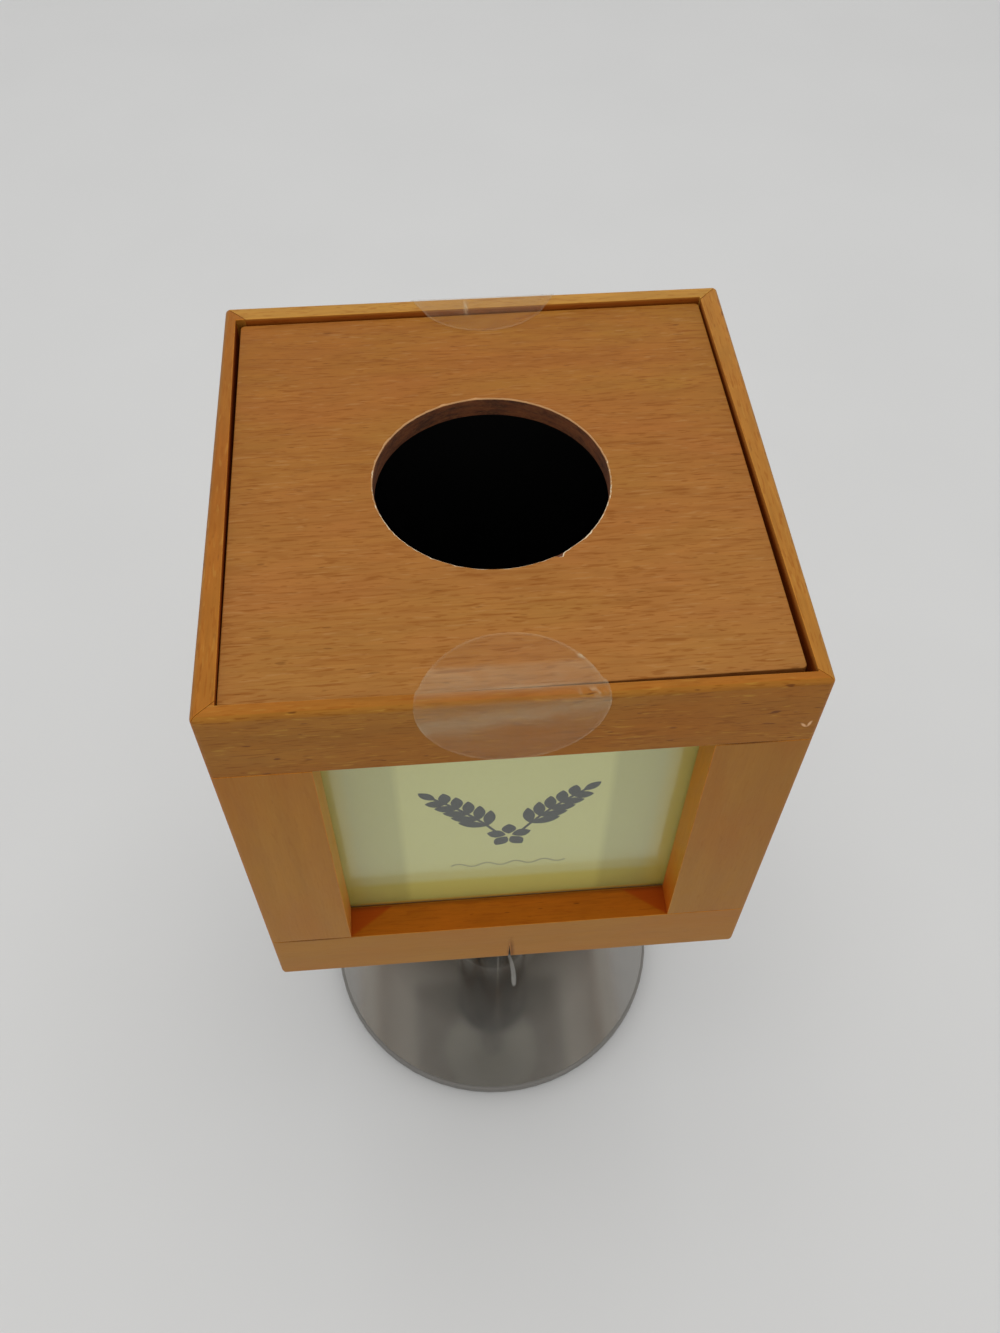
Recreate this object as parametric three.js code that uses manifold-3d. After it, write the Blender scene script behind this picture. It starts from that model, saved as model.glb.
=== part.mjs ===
// Wooden photo cube that turns on a metal stand.
// Each of its four sides frames one square print behind glass.
// An inset lid with a round hole closes the top.
// Millimetres, +Z up. The origin is the middle of the stand's underside, and the front picture faces -Y.

import * as THREE from "three";
import { RoundedBoxGeometry } from "three/addons/geometries/RoundedBoxGeometry.js";
import { mergeVertices } from "three/addons/utils/BufferGeometryUtils.js";
import Module from "manifold-3d";

const wasm = await Module();
wasm.setup();

// Clearances
const glueLine = 0.1; // at each glued wood joint
const seatGap = 0.2; // between a piece and what it rests on, or is pressed or screwed against
const runningGap = 0.3; // between a piece that turns or slides and its guide
const throughCut = 1; // how far a cutting shape runs past the face that it opens

// Wooden frames
const pictureSide = 83; // square print
const pictureLip = 1.5; // width of the print's edge that the frame covers
const railWidth = 20; // face width of a rail or stile
const boardThickness = 8;
const edgeRadius = 1.2; // rounding of the cube's outer edges
const panelThickness = 6;
const tagSlitWidth = 0.9; // split at the middle of the front's lower edge
const tagSlitHeight = 7.7;

// Lid
const lidThickness = 5;
const lidDrop = 1.2; // depth of the lid's top below the rim
const lidRim = 3.65; // average width of the rim round the lid
const rebateShiftX = -0.3; // of the rebate's middle from the cube's
const rebateShiftY = -0.8;
const rebateLean = 0.95; // degrees that its left and right walls lean, as they do in the photographed one
const rebateSpread = 0.4; // degrees that its front and back walls each spread towards the right
const lidClearance = 0.85; // average on each side
const lidShiftY = 0.1; // of the lid from the rebate's middle
const lidHoleRadius = 25.4;
const lidHoleShift = -0.5; // of the hole, along Y from the lid's middle
const lidEdge = 0.4; // chamfer of the lid's edges
const lidCornerRadius = 1;

// Picture packs and the black liner behind them
const glassThickness = 2;
const printThickness = 0.3;
const backingThickness = 2;
const paneMargin = 0.5; // how far the pane and backing reach past the print on each edge
const backingHeadroom = 0.5; // between a backing's upper edge and the lid
const linerThickness = 2;

// Stand
const baseRadius = 58;
const baseThickness = 3.5;
const baseEdgeRadius = 1;
const padRadius = 57;
const padThickness = 1;
const padHoleRadius = 9;
const standHeight = 123.6; // from the base's top to the cube's underside
const columnRadius = 13.5;
const columnWall = 1.5;
const columnLength = 67;
const footHeight = 14;
const capRim = 0.7; // how far the cap stands out round the column
const capThickness = 2.5;
const capSpigot = 10;
const bushHeight = 8;
const washerThickness = 1;

// Spindle and its flange under the cube
const spindleRadius = 5;
const spindleDepth = 46; // below the column's cap
const spindleChamfer = 0.8;
const collarRadius = 9;
const collarHeight = 4;
const clipThickness = 1;
const clipGrooveDepth = 1;
const clipReach = 2.5; // how far the clip stands out round the spindle
const clipMouth = 60; // degrees
const clipEndMargin = 3; // from the groove to the spindle's end
const flangeRadius = 22;
const flangeThickness = 3;
const bossRadius = 9;
const bossHeight = 9;

// Screws
const baseScrewRadius = 3;
const baseScrewLength = 12;
const baseScrewHeadRadius = 6;
const baseScrewHeadHeight = 1.8;
const baseScrewSocket = 2;
const baseScrewSocketDepth = 1.1;
const flangeScrewRadius = 1.4;
const flangeScrewHeadRadius = 3;
const flangeScrewHeadHeight = 1.7;
const flangeScrewBite = 4.6; // into the bottom panel
const flangeScrewCircle = 16;
const flangeScrewCount = 4;
const setScrewRadius = 2;
const setScrewSocket = 1;
const setScrewSocketDepth = 1.5;

// Clear seals folded over the lid's front and back edges
const sealRadius = 18.4;
const sealThickness = 0.15;
const frontSealReach = 16.8; // from the cube's edge in over the lid
const backSealReach = 12;
const frontSealShift = -0.8; // along X from the middle
const backSealShift = 2.2;

// Facet counts
const largeRound = 64;
const mediumRound = 40;
const smallRound = 16;
const edgeFacets = 3;

// Sizes of the cube that follow
const cubeSide = pictureSide - 2 * pictureLip + 2 * railWidth;
const half = cubeSide / 2;
const innerHalf = half - boardThickness;
const rebateHalf = half - lidRim;
const ledgeHeight = cubeSide - lidDrop - lidThickness - seatGap;
const lidSide = 2 * (rebateHalf - lidClearance);
const lidTurn = rebateLean / 2; // the lid lies midway between square and the leaning walls
const pictureBase = railWidth - pictureLip; // height at which the print stands
const panelTop = pictureBase - seatGap;
const panelBase = panelTop - panelThickness;

// Picture packs, from the frame inwards
const paneSide = pictureSide + 2 * paneMargin;
const glassFront = innerHalf - seatGap;
const printFront = glassFront - glassThickness - seatGap;
const backingFront = printFront - printThickness - seatGap;
const linerHalf = backingFront - backingThickness - runningGap;
const backingHeight = ledgeHeight - backingHeadroom - pictureBase;
const slotHalf = paneSide / 2 + runningGap;
const liningHeight = ledgeHeight - backingHeadroom - panelTop - seatGap;

// Heights of the stand that follow
const baseBottom = padThickness + glueLine;
const baseTop = baseBottom + baseThickness;
const cubeBottom = baseTop + standHeight;
const columnBottom = baseTop + seatGap;
const columnTop = columnBottom + columnLength;
const columnBore = columnRadius - columnWall;
const fittedRadius = columnBore - seatGap; // of the pieces pressed into the column
const capBottom = columnTop + seatGap;
const capTop = capBottom + capThickness;
const washerBottom = capTop + seatGap;
const collarBottom = washerBottom + washerThickness + seatGap;
const spindleBottom = capTop - spindleDepth;
const spindleTop = cubeBottom + panelBase - seatGap;
const journalBore = spindleRadius + runningGap;
const clipBottom = spindleBottom + clipEndMargin;
const clipGroove = spindleRadius - clipGrooveDepth;
const bushBottom = clipBottom + clipThickness + seatGap;
const flangeTop = panelBase - seatGap; // in the cube's own heights
const flangeBottom = flangeTop - flangeThickness;

// Materials
const finish = (color, roughness, metalness = 0) =>
  new THREE.MeshStandardMaterial({ color, roughness, metalness });
const railWood = finish(0xc08a4e, 0.55);
const lidWood = finish(0xc4874a, 0.5);
const plainWood = finish(0xc9a878, 0.7);
const blackBoard = finish(0x141311, 0.85);
const greyBoard = finish(0x8d877c, 0.9);
const paper = finish(0xd5d6a6, 0.7);
const glass = new THREE.MeshStandardMaterial({
  color: 0xdfe8e4,
  roughness: 0.05,
  transparent: true,
  opacity: 0.3,
});
const clearFilm = new THREE.MeshStandardMaterial({
  color: 0xf2efe6,
  roughness: 0.25,
  transparent: true,
  opacity: 0.35,
});
const satinSteel = finish(0x8f8c88, 0.3, 1);
const turnedSteel = finish(0xa7a5a1, 0.25, 1);
const zincSteel = finish(0xb9b7ae, 0.4, 1);
const blackNylon = finish(0x1d1d1f, 0.6);
const whiteNylon = finish(0xe6e4dc, 0.5);
const felt = finish(0x26282a, 0.95);

// Geometry helpers

// A closed geometry with shared vertices, as a solid that can be cut.
function solid(geometry) {
  geometry.deleteAttribute("normal");
  geometry.deleteAttribute("uv");
  const closed = mergeVertices(geometry);
  return new wasm.Manifold(
    new wasm.Mesh({
      numProp: 3,
      vertProperties: new Float32Array(closed.attributes.position.array),
      triVerts: new Uint32Array(closed.index.array),
    }),
  );
}

function geometryOf(cut) {
  const { vertProperties, triVerts } = cut.getMesh();
  const geometry = new THREE.BufferGeometry();
  geometry.setAttribute("position", new THREE.BufferAttribute(vertProperties, 3));
  geometry.setIndex(new THREE.BufferAttribute(triVerts, 1));
  geometry.computeVertexNormals();
  return geometry;
}

// A flat outline in plan, given as [x, y] corners, raised from height z by its thickness.
function plate(corners, z, thickness) {
  const shape = new THREE.Shape(corners.map(([x, y]) => new THREE.Vector2(x, y)));
  const geometry = new THREE.ExtrudeGeometry(shape, { depth: thickness, bevelEnabled: false });
  return geometry.translate(0, 0, z);
}

function box(x0, x1, y0, y1, z0, z1) {
  const geometry = new THREE.BoxGeometry(x1 - x0, y1 - y0, z1 - z0);
  return geometry.translate((x0 + x1) / 2, (y0 + y1) / 2, (z0 + z1) / 2);
}

// A turned piece from [radius, height] points, going up its outside.
function turned(points, facets) {
  const profile = points.map(([radius, z]) => new THREE.Vector2(radius, z));
  return new THREE.LatheGeometry(profile, facets).rotateX(Math.PI / 2);
}

// A turned ring: its section is a closed loop.
function ring(points, facets) {
  return turned([...points, points[0]], facets);
}

// An upright round bar from height z0 to z1.
function bar(radius, z0, z1, facets) {
  const geometry = new THREE.CylinderGeometry(radius, radius, z1 - z0, facets);
  return geometry.rotateX(Math.PI / 2).translate(0, 0, (z0 + z1) / 2);
}

// Points of a quarter round, from angle a0 to a1 in degrees about a centre.
function arcPoints(centreX, centreY, radius, a0, a1, steps = edgeFacets) {
  return Array.from({ length: steps + 1 }, (_, i) => {
    const angle = THREE.MathUtils.degToRad(a0 + ((a1 - a0) * i) / steps);
    return [centreX + radius * Math.cos(angle), centreY + radius * Math.sin(angle)];
  });
}

function part(parent, name, geometry, material) {
  const mesh = new THREE.Mesh(geometry, material);
  mesh.name = name;
  parent.add(mesh);
  return mesh;
}

// Frames
// Every side is drawn as the front side, and its group turns it into place.

const roundedCube = solid(
  new RoundedBoxGeometry(cubeSide, cubeSide, cubeSide, edgeFacets, edgeRadius).translate(0, 0, half),
);
const mitreGap = glueLine * Math.SQRT1_2;

// Rails run the full width, with mitred ends, and their outer edges are rounded.
function rail(z) {
  const corners = [
    [-half + mitreGap, -half],
    [half - mitreGap, -half],
    [innerHalf - mitreGap, -innerHalf],
    [-innerHalf + mitreGap, -innerHalf],
  ];
  return solid(plate(corners, z, railWidth)).intersect(roundedCube);
}

// The top rails are rebated for the lid. Quarter counts the quarter turns from the front side.
function topRail(quarter) {
  const lean = Math.tan(THREE.MathUtils.degToRad(rebateLean));
  const spread = Math.tan(THREE.MathUtils.degToRad(rebateSpread));
  const corners = [
    [-1, -1],
    [1, -1],
    [1, 1],
    [-1, 1],
  ].map(([x, y]) => [
    rebateShiftX + (x - y * lean) * rebateHalf,
    rebateShiftY + (y + y * x * spread) * rebateHalf,
  ]);
  const rebate = plate(corners, ledgeHeight, cubeSide + throughCut - ledgeHeight);
  rebate.rotateZ((-quarter * Math.PI) / 2);
  return geometryOf(rail(cubeSide - railWidth).subtract(solid(rebate)));
}

// The front's lower rail has a short split in its edge.
function bottomRail(split) {
  const whole = rail(0);
  if (!split) return geometryOf(whole);
  const slit = new THREE.Shape([
    new THREE.Vector2(-tagSlitWidth / 2, -throughCut),
    new THREE.Vector2(tagSlitWidth / 2, -throughCut),
    new THREE.Vector2(0, tagSlitHeight),
  ]);
  const wedge = new THREE.ExtrudeGeometry(slit, {
    depth: boardThickness + 2 * throughCut,
    bevelEnabled: false,
  });
  wedge.rotateX(Math.PI / 2).translate(0, -innerHalf + throughCut, 0);
  return geometryOf(whole.subtract(solid(wedge)));
}

// Stiles stand between the rails; hand is -1 on the left and 1 on the right.
function stile(hand) {
  const corners = [
    [-half + mitreGap, -half],
    [-half + railWidth, -half],
    [-half + railWidth, -innerHalf],
    [-innerHalf + mitreGap, -innerHalf],
  ].map(([x, y]) => [-hand * x, y]);
  const z = railWidth + glueLine;
  return geometryOf(solid(plate(corners, z, cubeSide - 2 * z)).intersect(roundedCube));
}

// Picture packs: pane, print and backing board slide down behind the frame.
function upright(width, height, front, thickness, z) {
  return box(-width / 2, width / 2, -front, -front + thickness, z, z + height);
}

// Corner posts keep the packs apart and carry the liner: an L in plan, at the front left corner.
function cornerPost() {
  const outer = innerHalf - glueLine;
  const inner = linerHalf + seatGap;
  const corners = [
    [-outer, -outer],
    [-slotHalf, -outer],
    [-slotHalf, -inner],
    [-inner, -inner],
    [-inner, -slotHalf],
    [-outer, -slotHalf],
  ];
  return plate(corners, panelTop + seatGap, liningHeight);
}

// The liner's walls meet in mitres at its corners.
function linerWall() {
  const inner = linerHalf - linerThickness;
  const corners = [
    [-linerHalf + mitreGap, -linerHalf],
    [linerHalf - mitreGap, -linerHalf],
    [inner - mitreGap, -inner],
    [-inner + mitreGap, -inner],
  ];
  return plate(corners, panelTop + seatGap, liningHeight);
}

function linerFloor() {
  const reach = linerHalf - linerThickness - seatGap;
  const z = panelTop + seatGap;
  return box(-reach, reach, -reach, reach, z, z + linerThickness);
}

// The bottom panel has pilot holes for the flange's screws.
function bottomPanel() {
  const reach = innerHalf - glueLine;
  let panel = solid(box(-reach, reach, -reach, reach, panelBase, panelTop));
  const depth = flangeScrewBite + seatGap;
  const pilot = bar(flangeScrewRadius + glueLine, panelBase - throughCut, panelBase + depth, smallRound);
  for (const [x, y] of flangeScrewPlaces()) panel = panel.subtract(solid(pilot.clone().translate(x, y, 0)));
  return geometryOf(panel);
}

// Lid: a square board with eased edges and a round hole.
function lid() {
  const reach = lidSide / 2;
  const r = lidCornerRadius;
  const outline = new THREE.Shape();
  outline.moveTo(reach, -reach + r);
  outline.absarc(reach - r, reach - r, r, 0, Math.PI / 2);
  outline.absarc(-reach + r, reach - r, r, Math.PI / 2, Math.PI);
  outline.absarc(-reach + r, -reach + r, r, Math.PI, 1.5 * Math.PI);
  outline.absarc(reach - r, -reach + r, r, 1.5 * Math.PI, 2 * Math.PI);
  outline.closePath();
  outline.holes.push(new THREE.Path().absarc(0, lidHoleShift, lidHoleRadius, 0, 2 * Math.PI, true));
  const geometry = new THREE.ExtrudeGeometry(outline, {
    depth: lidThickness - 2 * lidEdge,
    bevelThickness: lidEdge,
    bevelSize: lidEdge,
    bevelOffset: -lidEdge,
    bevelSegments: 1,
    curveSegments: largeRound / 4,
  });
  return geometry.translate(0, 0, lidEdge);
}

// Seals
// A round film, folded over the cube's top edge as on the front side.

// Its centre line in the side's y and z: on the lid, up over the gap, round the edge and down the face.
function sealPath(reach, rimInner) {
  const lidTop = cubeSide - lidDrop;
  const bend = edgeRadius + seatGap;
  const edge = arcPoints(half - edgeRadius, cubeSide - edgeRadius, bend, 90, 0);
  const path = [
    [half - reach, lidTop + seatGap],
    [rimInner - 2 * lidClearance, lidTop + seatGap],
    [rimInner - seatGap, cubeSide + seatGap],
    ...edge,
  ];
  const used = path.slice(1).reduce((sum, [y, z], i) => sum + Math.hypot(y - path[i][0], z - path[i][1]), 0);
  path.push([half + seatGap, cubeSide - edgeRadius - (2 * sealRadius - used)]);
  return path.map(([y, z]) => new THREE.Vector2(-y, z));
}

function foldedSeal(reach, rimInner) {
  const path = sealPath(reach, rimInner);
  const lengths = [0];
  for (let i = 1; i < path.length; i++) lengths.push(lengths[i - 1] + path[i].distanceTo(path[i - 1]));
  const total = lengths.at(-1);

  // Stations along the film: evenly round its rim, and at each bend.
  const rim = [];
  for (let i = 1; i < mediumRound / 2; i++) {
    rim.push(sealRadius - sealRadius * Math.cos((2 * Math.PI * i) / mediumRound));
  }
  const bends = lengths.filter((s) => s > rim[0] && s < rim.at(-1));
  const stations = [...rim, ...bends].sort((a, b) => a - b);

  const positions = [];
  for (const s of stations) {
    const leg = Math.max(1, lengths.findIndex((length) => length >= s));
    const along = path[leg].clone().sub(path[leg - 1]).normalize();
    const point = path[leg - 1].clone().addScaledVector(along, s - lengths[leg - 1]);
    const outward = new THREE.Vector2(-along.y, along.x).negate();
    const next = path[leg + 1];
    if (next && s === lengths[leg]) {
      const turn = next.clone().sub(path[leg]).normalize();
      outward.add(new THREE.Vector2(-turn.y, turn.x).negate()).normalize();
    }
    const width = sealRadius * Math.sqrt(Math.max(0, 1 - ((2 * s) / total - 1) ** 2));
    const top = point.clone().addScaledVector(outward, sealThickness);
    positions.push(-width, point.x, point.y, width, point.x, point.y);
    positions.push(width, top.x, top.y, -width, top.x, top.y);
  }

  const index = [];
  const quad = (a, b, c, d) => index.push(a, b, c, a, c, d);
  for (let i = 0; i < stations.length - 1; i++) {
    for (let k = 0; k < 4; k++) {
      const a = 4 * i + k;
      const b = 4 * i + ((k + 1) % 4);
      quad(a, b, b + 4, a + 4);
    }
  }
  const last = 4 * (stations.length - 1);
  quad(3, 2, 1, 0);
  quad(last, last + 1, last + 2, last + 3);

  const geometry = new THREE.BufferGeometry();
  geometry.setAttribute("position", new THREE.Float32BufferAttribute(positions, 3));
  geometry.setIndex(index);
  geometry.computeVertexNormals();
  return geometry;
}

// Stand
// Its pieces are drawn at their own heights above the underside.

function basePad() {
  return ring(
    [
      [padRadius, 0],
      [padRadius, padThickness],
      [padHoleRadius, padThickness],
      [padHoleRadius, 0],
    ],
    mediumRound,
  );
}

// A steel disc with a rounded upper edge, a hole for the screw and a counterbore for its head.
function baseDisc() {
  const hole = baseScrewRadius + runningGap;
  const counterbore = baseScrewHeadRadius + runningGap;
  const seat = baseBottom + baseScrewHeadHeight + seatGap;
  return ring(
    [
      [counterbore, baseBottom],
      [baseRadius - lidEdge, baseBottom],
      [baseRadius, baseBottom + lidEdge],
      ...arcPoints(baseRadius - baseEdgeRadius, baseTop - baseEdgeRadius, baseEdgeRadius, 0, 90),
      [hole, baseTop],
      [hole, seat],
      [counterbore, seat],
    ],
    largeRound,
  );
}

// The screw comes up through the disc into the column's foot; its head has a hexagon socket.
function baseScrew() {
  const headTop = baseBottom + baseScrewHeadHeight;
  const tip = headTop + baseScrewLength;
  const body = turned(
    [
      [0, baseBottom],
      [baseScrewHeadRadius, baseBottom],
      [baseScrewHeadRadius, headTop],
      [baseScrewRadius, headTop],
      [baseScrewRadius, tip - spindleChamfer],
      [baseScrewRadius - spindleChamfer, tip],
      [0, tip],
    ],
    smallRound,
  );
  const socket = bar(baseScrewSocket, baseBottom - throughCut, baseBottom + baseScrewSocketDepth, 6);
  return geometryOf(solid(body).subtract(solid(socket)));
}

function columnTube() {
  return ring(
    [
      [columnRadius, columnBottom],
      [columnRadius, columnTop],
      [columnBore, columnTop],
      [columnBore, columnBottom],
    ],
    mediumRound,
  );
}

// A plug in the column's lower end, tapped for the base screw.
function columnFoot() {
  const tapped = baseScrewRadius + glueLine;
  const depth = baseBottom + baseScrewHeadHeight + baseScrewLength + seatGap;
  return turned(
    [
      [0, depth],
      [tapped, depth],
      [tapped, columnBottom],
      [fittedRadius, columnBottom],
      [fittedRadius, depth + baseScrewRadius],
      [0, depth + baseScrewRadius],
    ],
    mediumRound,
  );
}

// The cap closes the column and is the spindle's upper bearing.
function columnCap() {
  const rim = columnRadius + capRim;
  return ring(
    [
      [journalBore, columnTop - capSpigot],
      [fittedRadius, columnTop - capSpigot],
      [fittedRadius, capBottom],
      [rim, capBottom],
      ...arcPoints(rim - baseEdgeRadius, capTop - baseEdgeRadius, baseEdgeRadius, 0, 90),
      [journalBore, capTop],
    ],
    mediumRound,
  );
}

function guideBush() {
  return ring(
    [
      [fittedRadius, bushBottom],
      [fittedRadius, bushBottom + bushHeight],
      [journalBore, bushBottom + bushHeight],
      [journalBore, bushBottom],
    ],
    mediumRound,
  );
}

function thrustWasher() {
  const top = washerBottom + washerThickness;
  return ring(
    [
      [collarRadius, washerBottom],
      [collarRadius, top],
      [journalBore, top],
      [journalBore, washerBottom],
    ],
    mediumRound,
  );
}

// The spindle has a collar that rests on the washer, and a groove for its clip near the lower end.
function spindle() {
  const grooveTop = clipBottom + clipThickness + seatGap / 2;
  const grooveBottom = clipBottom - seatGap / 2;
  const collarTop = collarBottom + collarHeight;
  return turned(
    [
      [0, spindleBottom],
      [spindleRadius - spindleChamfer, spindleBottom],
      [spindleRadius, spindleBottom + spindleChamfer],
      [spindleRadius, grooveBottom],
      [clipGroove, grooveBottom],
      [clipGroove, grooveTop],
      [spindleRadius, grooveTop],
      [spindleRadius, collarBottom],
      [collarRadius, collarBottom],
      [collarRadius, collarTop - spindleChamfer],
      [collarRadius - spindleChamfer, collarTop],
      [spindleRadius, collarTop],
      [spindleRadius, spindleTop - spindleChamfer],
      [spindleRadius - spindleChamfer, spindleTop],
      [0, spindleTop],
    ],
    mediumRound,
  );
}

// A sprung clip in the spindle's groove, open at the back.
function retainingClip() {
  const start = 90 + clipMouth / 2;
  const end = 450 - clipMouth / 2;
  const outer = arcPoints(0, 0, spindleRadius + clipReach, start, end, smallRound);
  const inner = arcPoints(0, 0, clipGroove + glueLine, end, start, smallRound);
  return plate([...outer, ...inner], clipBottom, clipThickness);
}

// Flange under the cube
// Its pieces are drawn in the cube's own heights.

function flangeScrewPlaces() {
  return Array.from({ length: flangeScrewCount }, (_, i) => {
    const angle = (2 * Math.PI * (i + 0.5)) / flangeScrewCount;
    return [flangeScrewCircle * Math.cos(angle), flangeScrewCircle * Math.sin(angle)];
  });
}

// A plate with a boss that the spindle goes into, and countersunk screw holes.
function mountingFlange() {
  const bore = spindleRadius + glueLine;
  const bossBottom = flangeBottom - bossHeight;
  let body = solid(
    ring(
      [
        [bore, bossBottom],
        [bossRadius - spindleChamfer, bossBottom],
        [bossRadius, bossBottom + spindleChamfer],
        [bossRadius, flangeBottom],
        [flangeRadius - spindleChamfer, flangeBottom],
        [flangeRadius, flangeBottom + spindleChamfer],
        [flangeRadius, flangeTop],
        [bore, flangeTop],
      ],
      mediumRound,
    ),
  );
  const hole = flangeScrewRadius + runningGap;
  const sink = flangeScrewHeadRadius + seatGap;
  const countersunk = turned(
    [
      [0, flangeBottom - throughCut],
      [sink, flangeBottom - throughCut],
      [sink, flangeBottom],
      [hole, flangeBottom + flangeScrewHeadHeight],
      [hole, flangeTop + throughCut],
      [0, flangeTop + throughCut],
    ],
    smallRound,
  );
  for (const [x, y] of flangeScrewPlaces()) {
    body = body.subtract(solid(countersunk.clone().translate(x, y, 0)));
  }
  const tapped = bar(setScrewRadius + glueLine, 0, bossRadius + throughCut, smallRound);
  tapped.rotateX(-Math.PI / 2).translate(0, 0, bossBottom + bossHeight / 2);
  return geometryOf(body.subtract(solid(tapped)));
}

function flangeScrew() {
  const tip = panelBase + flangeScrewBite;
  return turned(
    [
      [0, flangeBottom],
      [flangeScrewHeadRadius, flangeBottom],
      [flangeScrewRadius, flangeBottom + flangeScrewHeadHeight],
      [flangeScrewRadius, tip - 2 * flangeScrewRadius],
      [0, tip],
    ],
    smallRound,
  );
}

// A grub screw through the boss, pointing at the spindle.
function setScrew() {
  const outer = bossRadius - seatGap;
  const body = bar(setScrewRadius, spindleRadius + seatGap, outer, smallRound);
  const socket = bar(setScrewSocket, outer - setScrewSocketDepth, outer + throughCut, 6);
  const screw = solid(body).subtract(solid(socket));
  const z = flangeBottom - bossHeight / 2;
  return geometryOf(screw).rotateX(-Math.PI / 2).translate(0, 0, z);
}

// Assembly

const photoCube = new THREE.Group();

part(photoCube, "base_pad", basePad(), felt);
part(photoCube, "base_disc", baseDisc(), satinSteel);
part(photoCube, "base_screw", baseScrew(), zincSteel);
part(photoCube, "column_tube", columnTube(), turnedSteel);
part(photoCube, "column_foot", columnFoot(), zincSteel);
part(photoCube, "column_cap", columnCap(), blackNylon);
part(photoCube, "guide_bush", guideBush(), blackNylon);
part(photoCube, "thrust_washer", thrustWasher(), whiteNylon);
part(photoCube, "spindle", spindle(), turnedSteel);
part(photoCube, "retaining_clip", retainingClip(), zincSteel);

const cube = new THREE.Group();
cube.position.z = cubeBottom;
photoCube.add(cube);

part(cube, "mounting_flange", mountingFlange(), zincSteel);
part(cube, "set_screw", setScrew(), zincSteel);
flangeScrewPlaces().forEach(([x, y], i) => {
  part(cube, `flange_screw_${i + 1}`, flangeScrew(), zincSteel).position.set(x, y, 0);
});
part(cube, "bottom_panel", bottomPanel(), plainWood);
part(cube, "liner_floor", linerFloor(), blackBoard);

["front", "right", "back", "left"].forEach((sideName, quarter) => {
  const side = new THREE.Group();
  side.rotation.z = (quarter * Math.PI) / 2;
  cube.add(side);
  part(side, `${sideName}_top_rail`, topRail(quarter), railWood);
  part(side, `${sideName}_bottom_rail`, bottomRail(sideName === "front"), railWood);
  part(side, `${sideName}_left_stile`, stile(-1), railWood);
  part(side, `${sideName}_right_stile`, stile(1), railWood);
  part(
    side,
    `${sideName}_glass`,
    upright(paneSide, paneSide, glassFront, glassThickness, pictureBase),
    glass,
  );
  part(
    side,
    `${sideName}_print`,
    upright(pictureSide, pictureSide, printFront, printThickness, pictureBase),
    paper,
  );
  part(
    side,
    `${sideName}_backing`,
    upright(paneSide, backingHeight, backingFront, backingThickness, pictureBase),
    greyBoard,
  );
  part(side, `${sideName}_liner_wall`, linerWall(), blackBoard);
  part(side, `${sideName}_left_post`, cornerPost(), plainWood);
});

const topLid = part(cube, "lid", lid(), lidWood);
topLid.position.set(rebateShiftX, rebateShiftY + lidShiftY, cubeSide - lidDrop - lidThickness);
topLid.rotation.z = THREE.MathUtils.degToRad(lidTurn);

const sealedRim = rebateHalf - sealRadius * Math.tan(THREE.MathUtils.degToRad(rebateSpread));
const frontSeal = part(cube, "front_seal", foldedSeal(frontSealReach, sealedRim - rebateShiftY), clearFilm);
frontSeal.position.x = frontSealShift;
const backSeal = part(cube, "back_seal", foldedSeal(backSealReach, sealedRim + rebateShiftY), clearFilm);
backSeal.rotation.z = Math.PI;
backSeal.position.x = backSealShift;

export default photoCube;
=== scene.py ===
import math
import random

import bmesh
import bpy
from mathutils import Matrix, Vector, noise


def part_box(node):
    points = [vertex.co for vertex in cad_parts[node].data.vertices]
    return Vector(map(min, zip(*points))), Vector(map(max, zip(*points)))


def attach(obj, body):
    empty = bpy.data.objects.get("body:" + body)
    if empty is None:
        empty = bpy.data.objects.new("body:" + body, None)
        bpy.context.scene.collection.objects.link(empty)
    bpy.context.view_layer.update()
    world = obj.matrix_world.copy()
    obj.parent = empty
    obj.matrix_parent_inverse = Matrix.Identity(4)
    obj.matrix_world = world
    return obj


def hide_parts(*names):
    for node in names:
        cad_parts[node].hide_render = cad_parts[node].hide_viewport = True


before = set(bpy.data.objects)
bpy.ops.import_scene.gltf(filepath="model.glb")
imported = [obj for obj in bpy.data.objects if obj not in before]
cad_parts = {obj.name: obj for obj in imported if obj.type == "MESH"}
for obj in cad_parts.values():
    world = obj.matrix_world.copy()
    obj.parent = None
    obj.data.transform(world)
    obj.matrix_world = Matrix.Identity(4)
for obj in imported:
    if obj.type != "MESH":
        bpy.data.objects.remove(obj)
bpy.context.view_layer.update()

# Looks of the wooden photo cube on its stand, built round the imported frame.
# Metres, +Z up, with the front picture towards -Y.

MM = 0.001
X = Vector((1, 0, 0))
Y = Vector((0, 1, 0))
UP = Vector((0, 0, 1))
SIDES = ("front", "right", "back", "left")

# Places read from the frame
CUBE_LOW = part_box("front_bottom_rail")[0].z
CUBE_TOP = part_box("front_top_rail")[1].z
HALF = (CUBE_TOP - CUBE_LOW) / 2
LID_LOW, LID_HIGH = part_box("lid")
WINDOW_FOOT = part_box("front_bottom_rail")[1].z
DISC_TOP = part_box("base_disc")[1].z

# Sizes that the frame's boxes don't give
FRAME_DEPTH = 8 * MM
WINDOW_HALF = 40 * MM
LID_HALF = 55.5 * MM
LID_TURN = math.radians(0.475)
REBATE_MIDDLE_Y = -0.8 * MM
SEALED_RIM = 56.2 * MM
LEFT_WALL = -56.65 * MM
LEFT_WALL_SHIFT = 0.25 * MM
WALL_BAND = 1.6 * MM
EDGE_RADIUS = 1.2 * MM
HOLE_RADIUS = 25.4 * MM
HOLE_SHIFT = -0.5 * MM
NOTCH_ANGLE = math.radians(298)
NOTCH_SPREAD = 0.025
NOTCH_DEPTH = 0.9 * MM
HOLE_POINTS = 240
BAR_EASE = 0.22 * MM
PANE_EASE = 0.2 * MM
CORNER_STEPS = 6
NEAR = 0.1 * MM
SEAL_RADIUS = 18.4 * MM
SEAL_LIFT = 0.25 * MM
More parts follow.
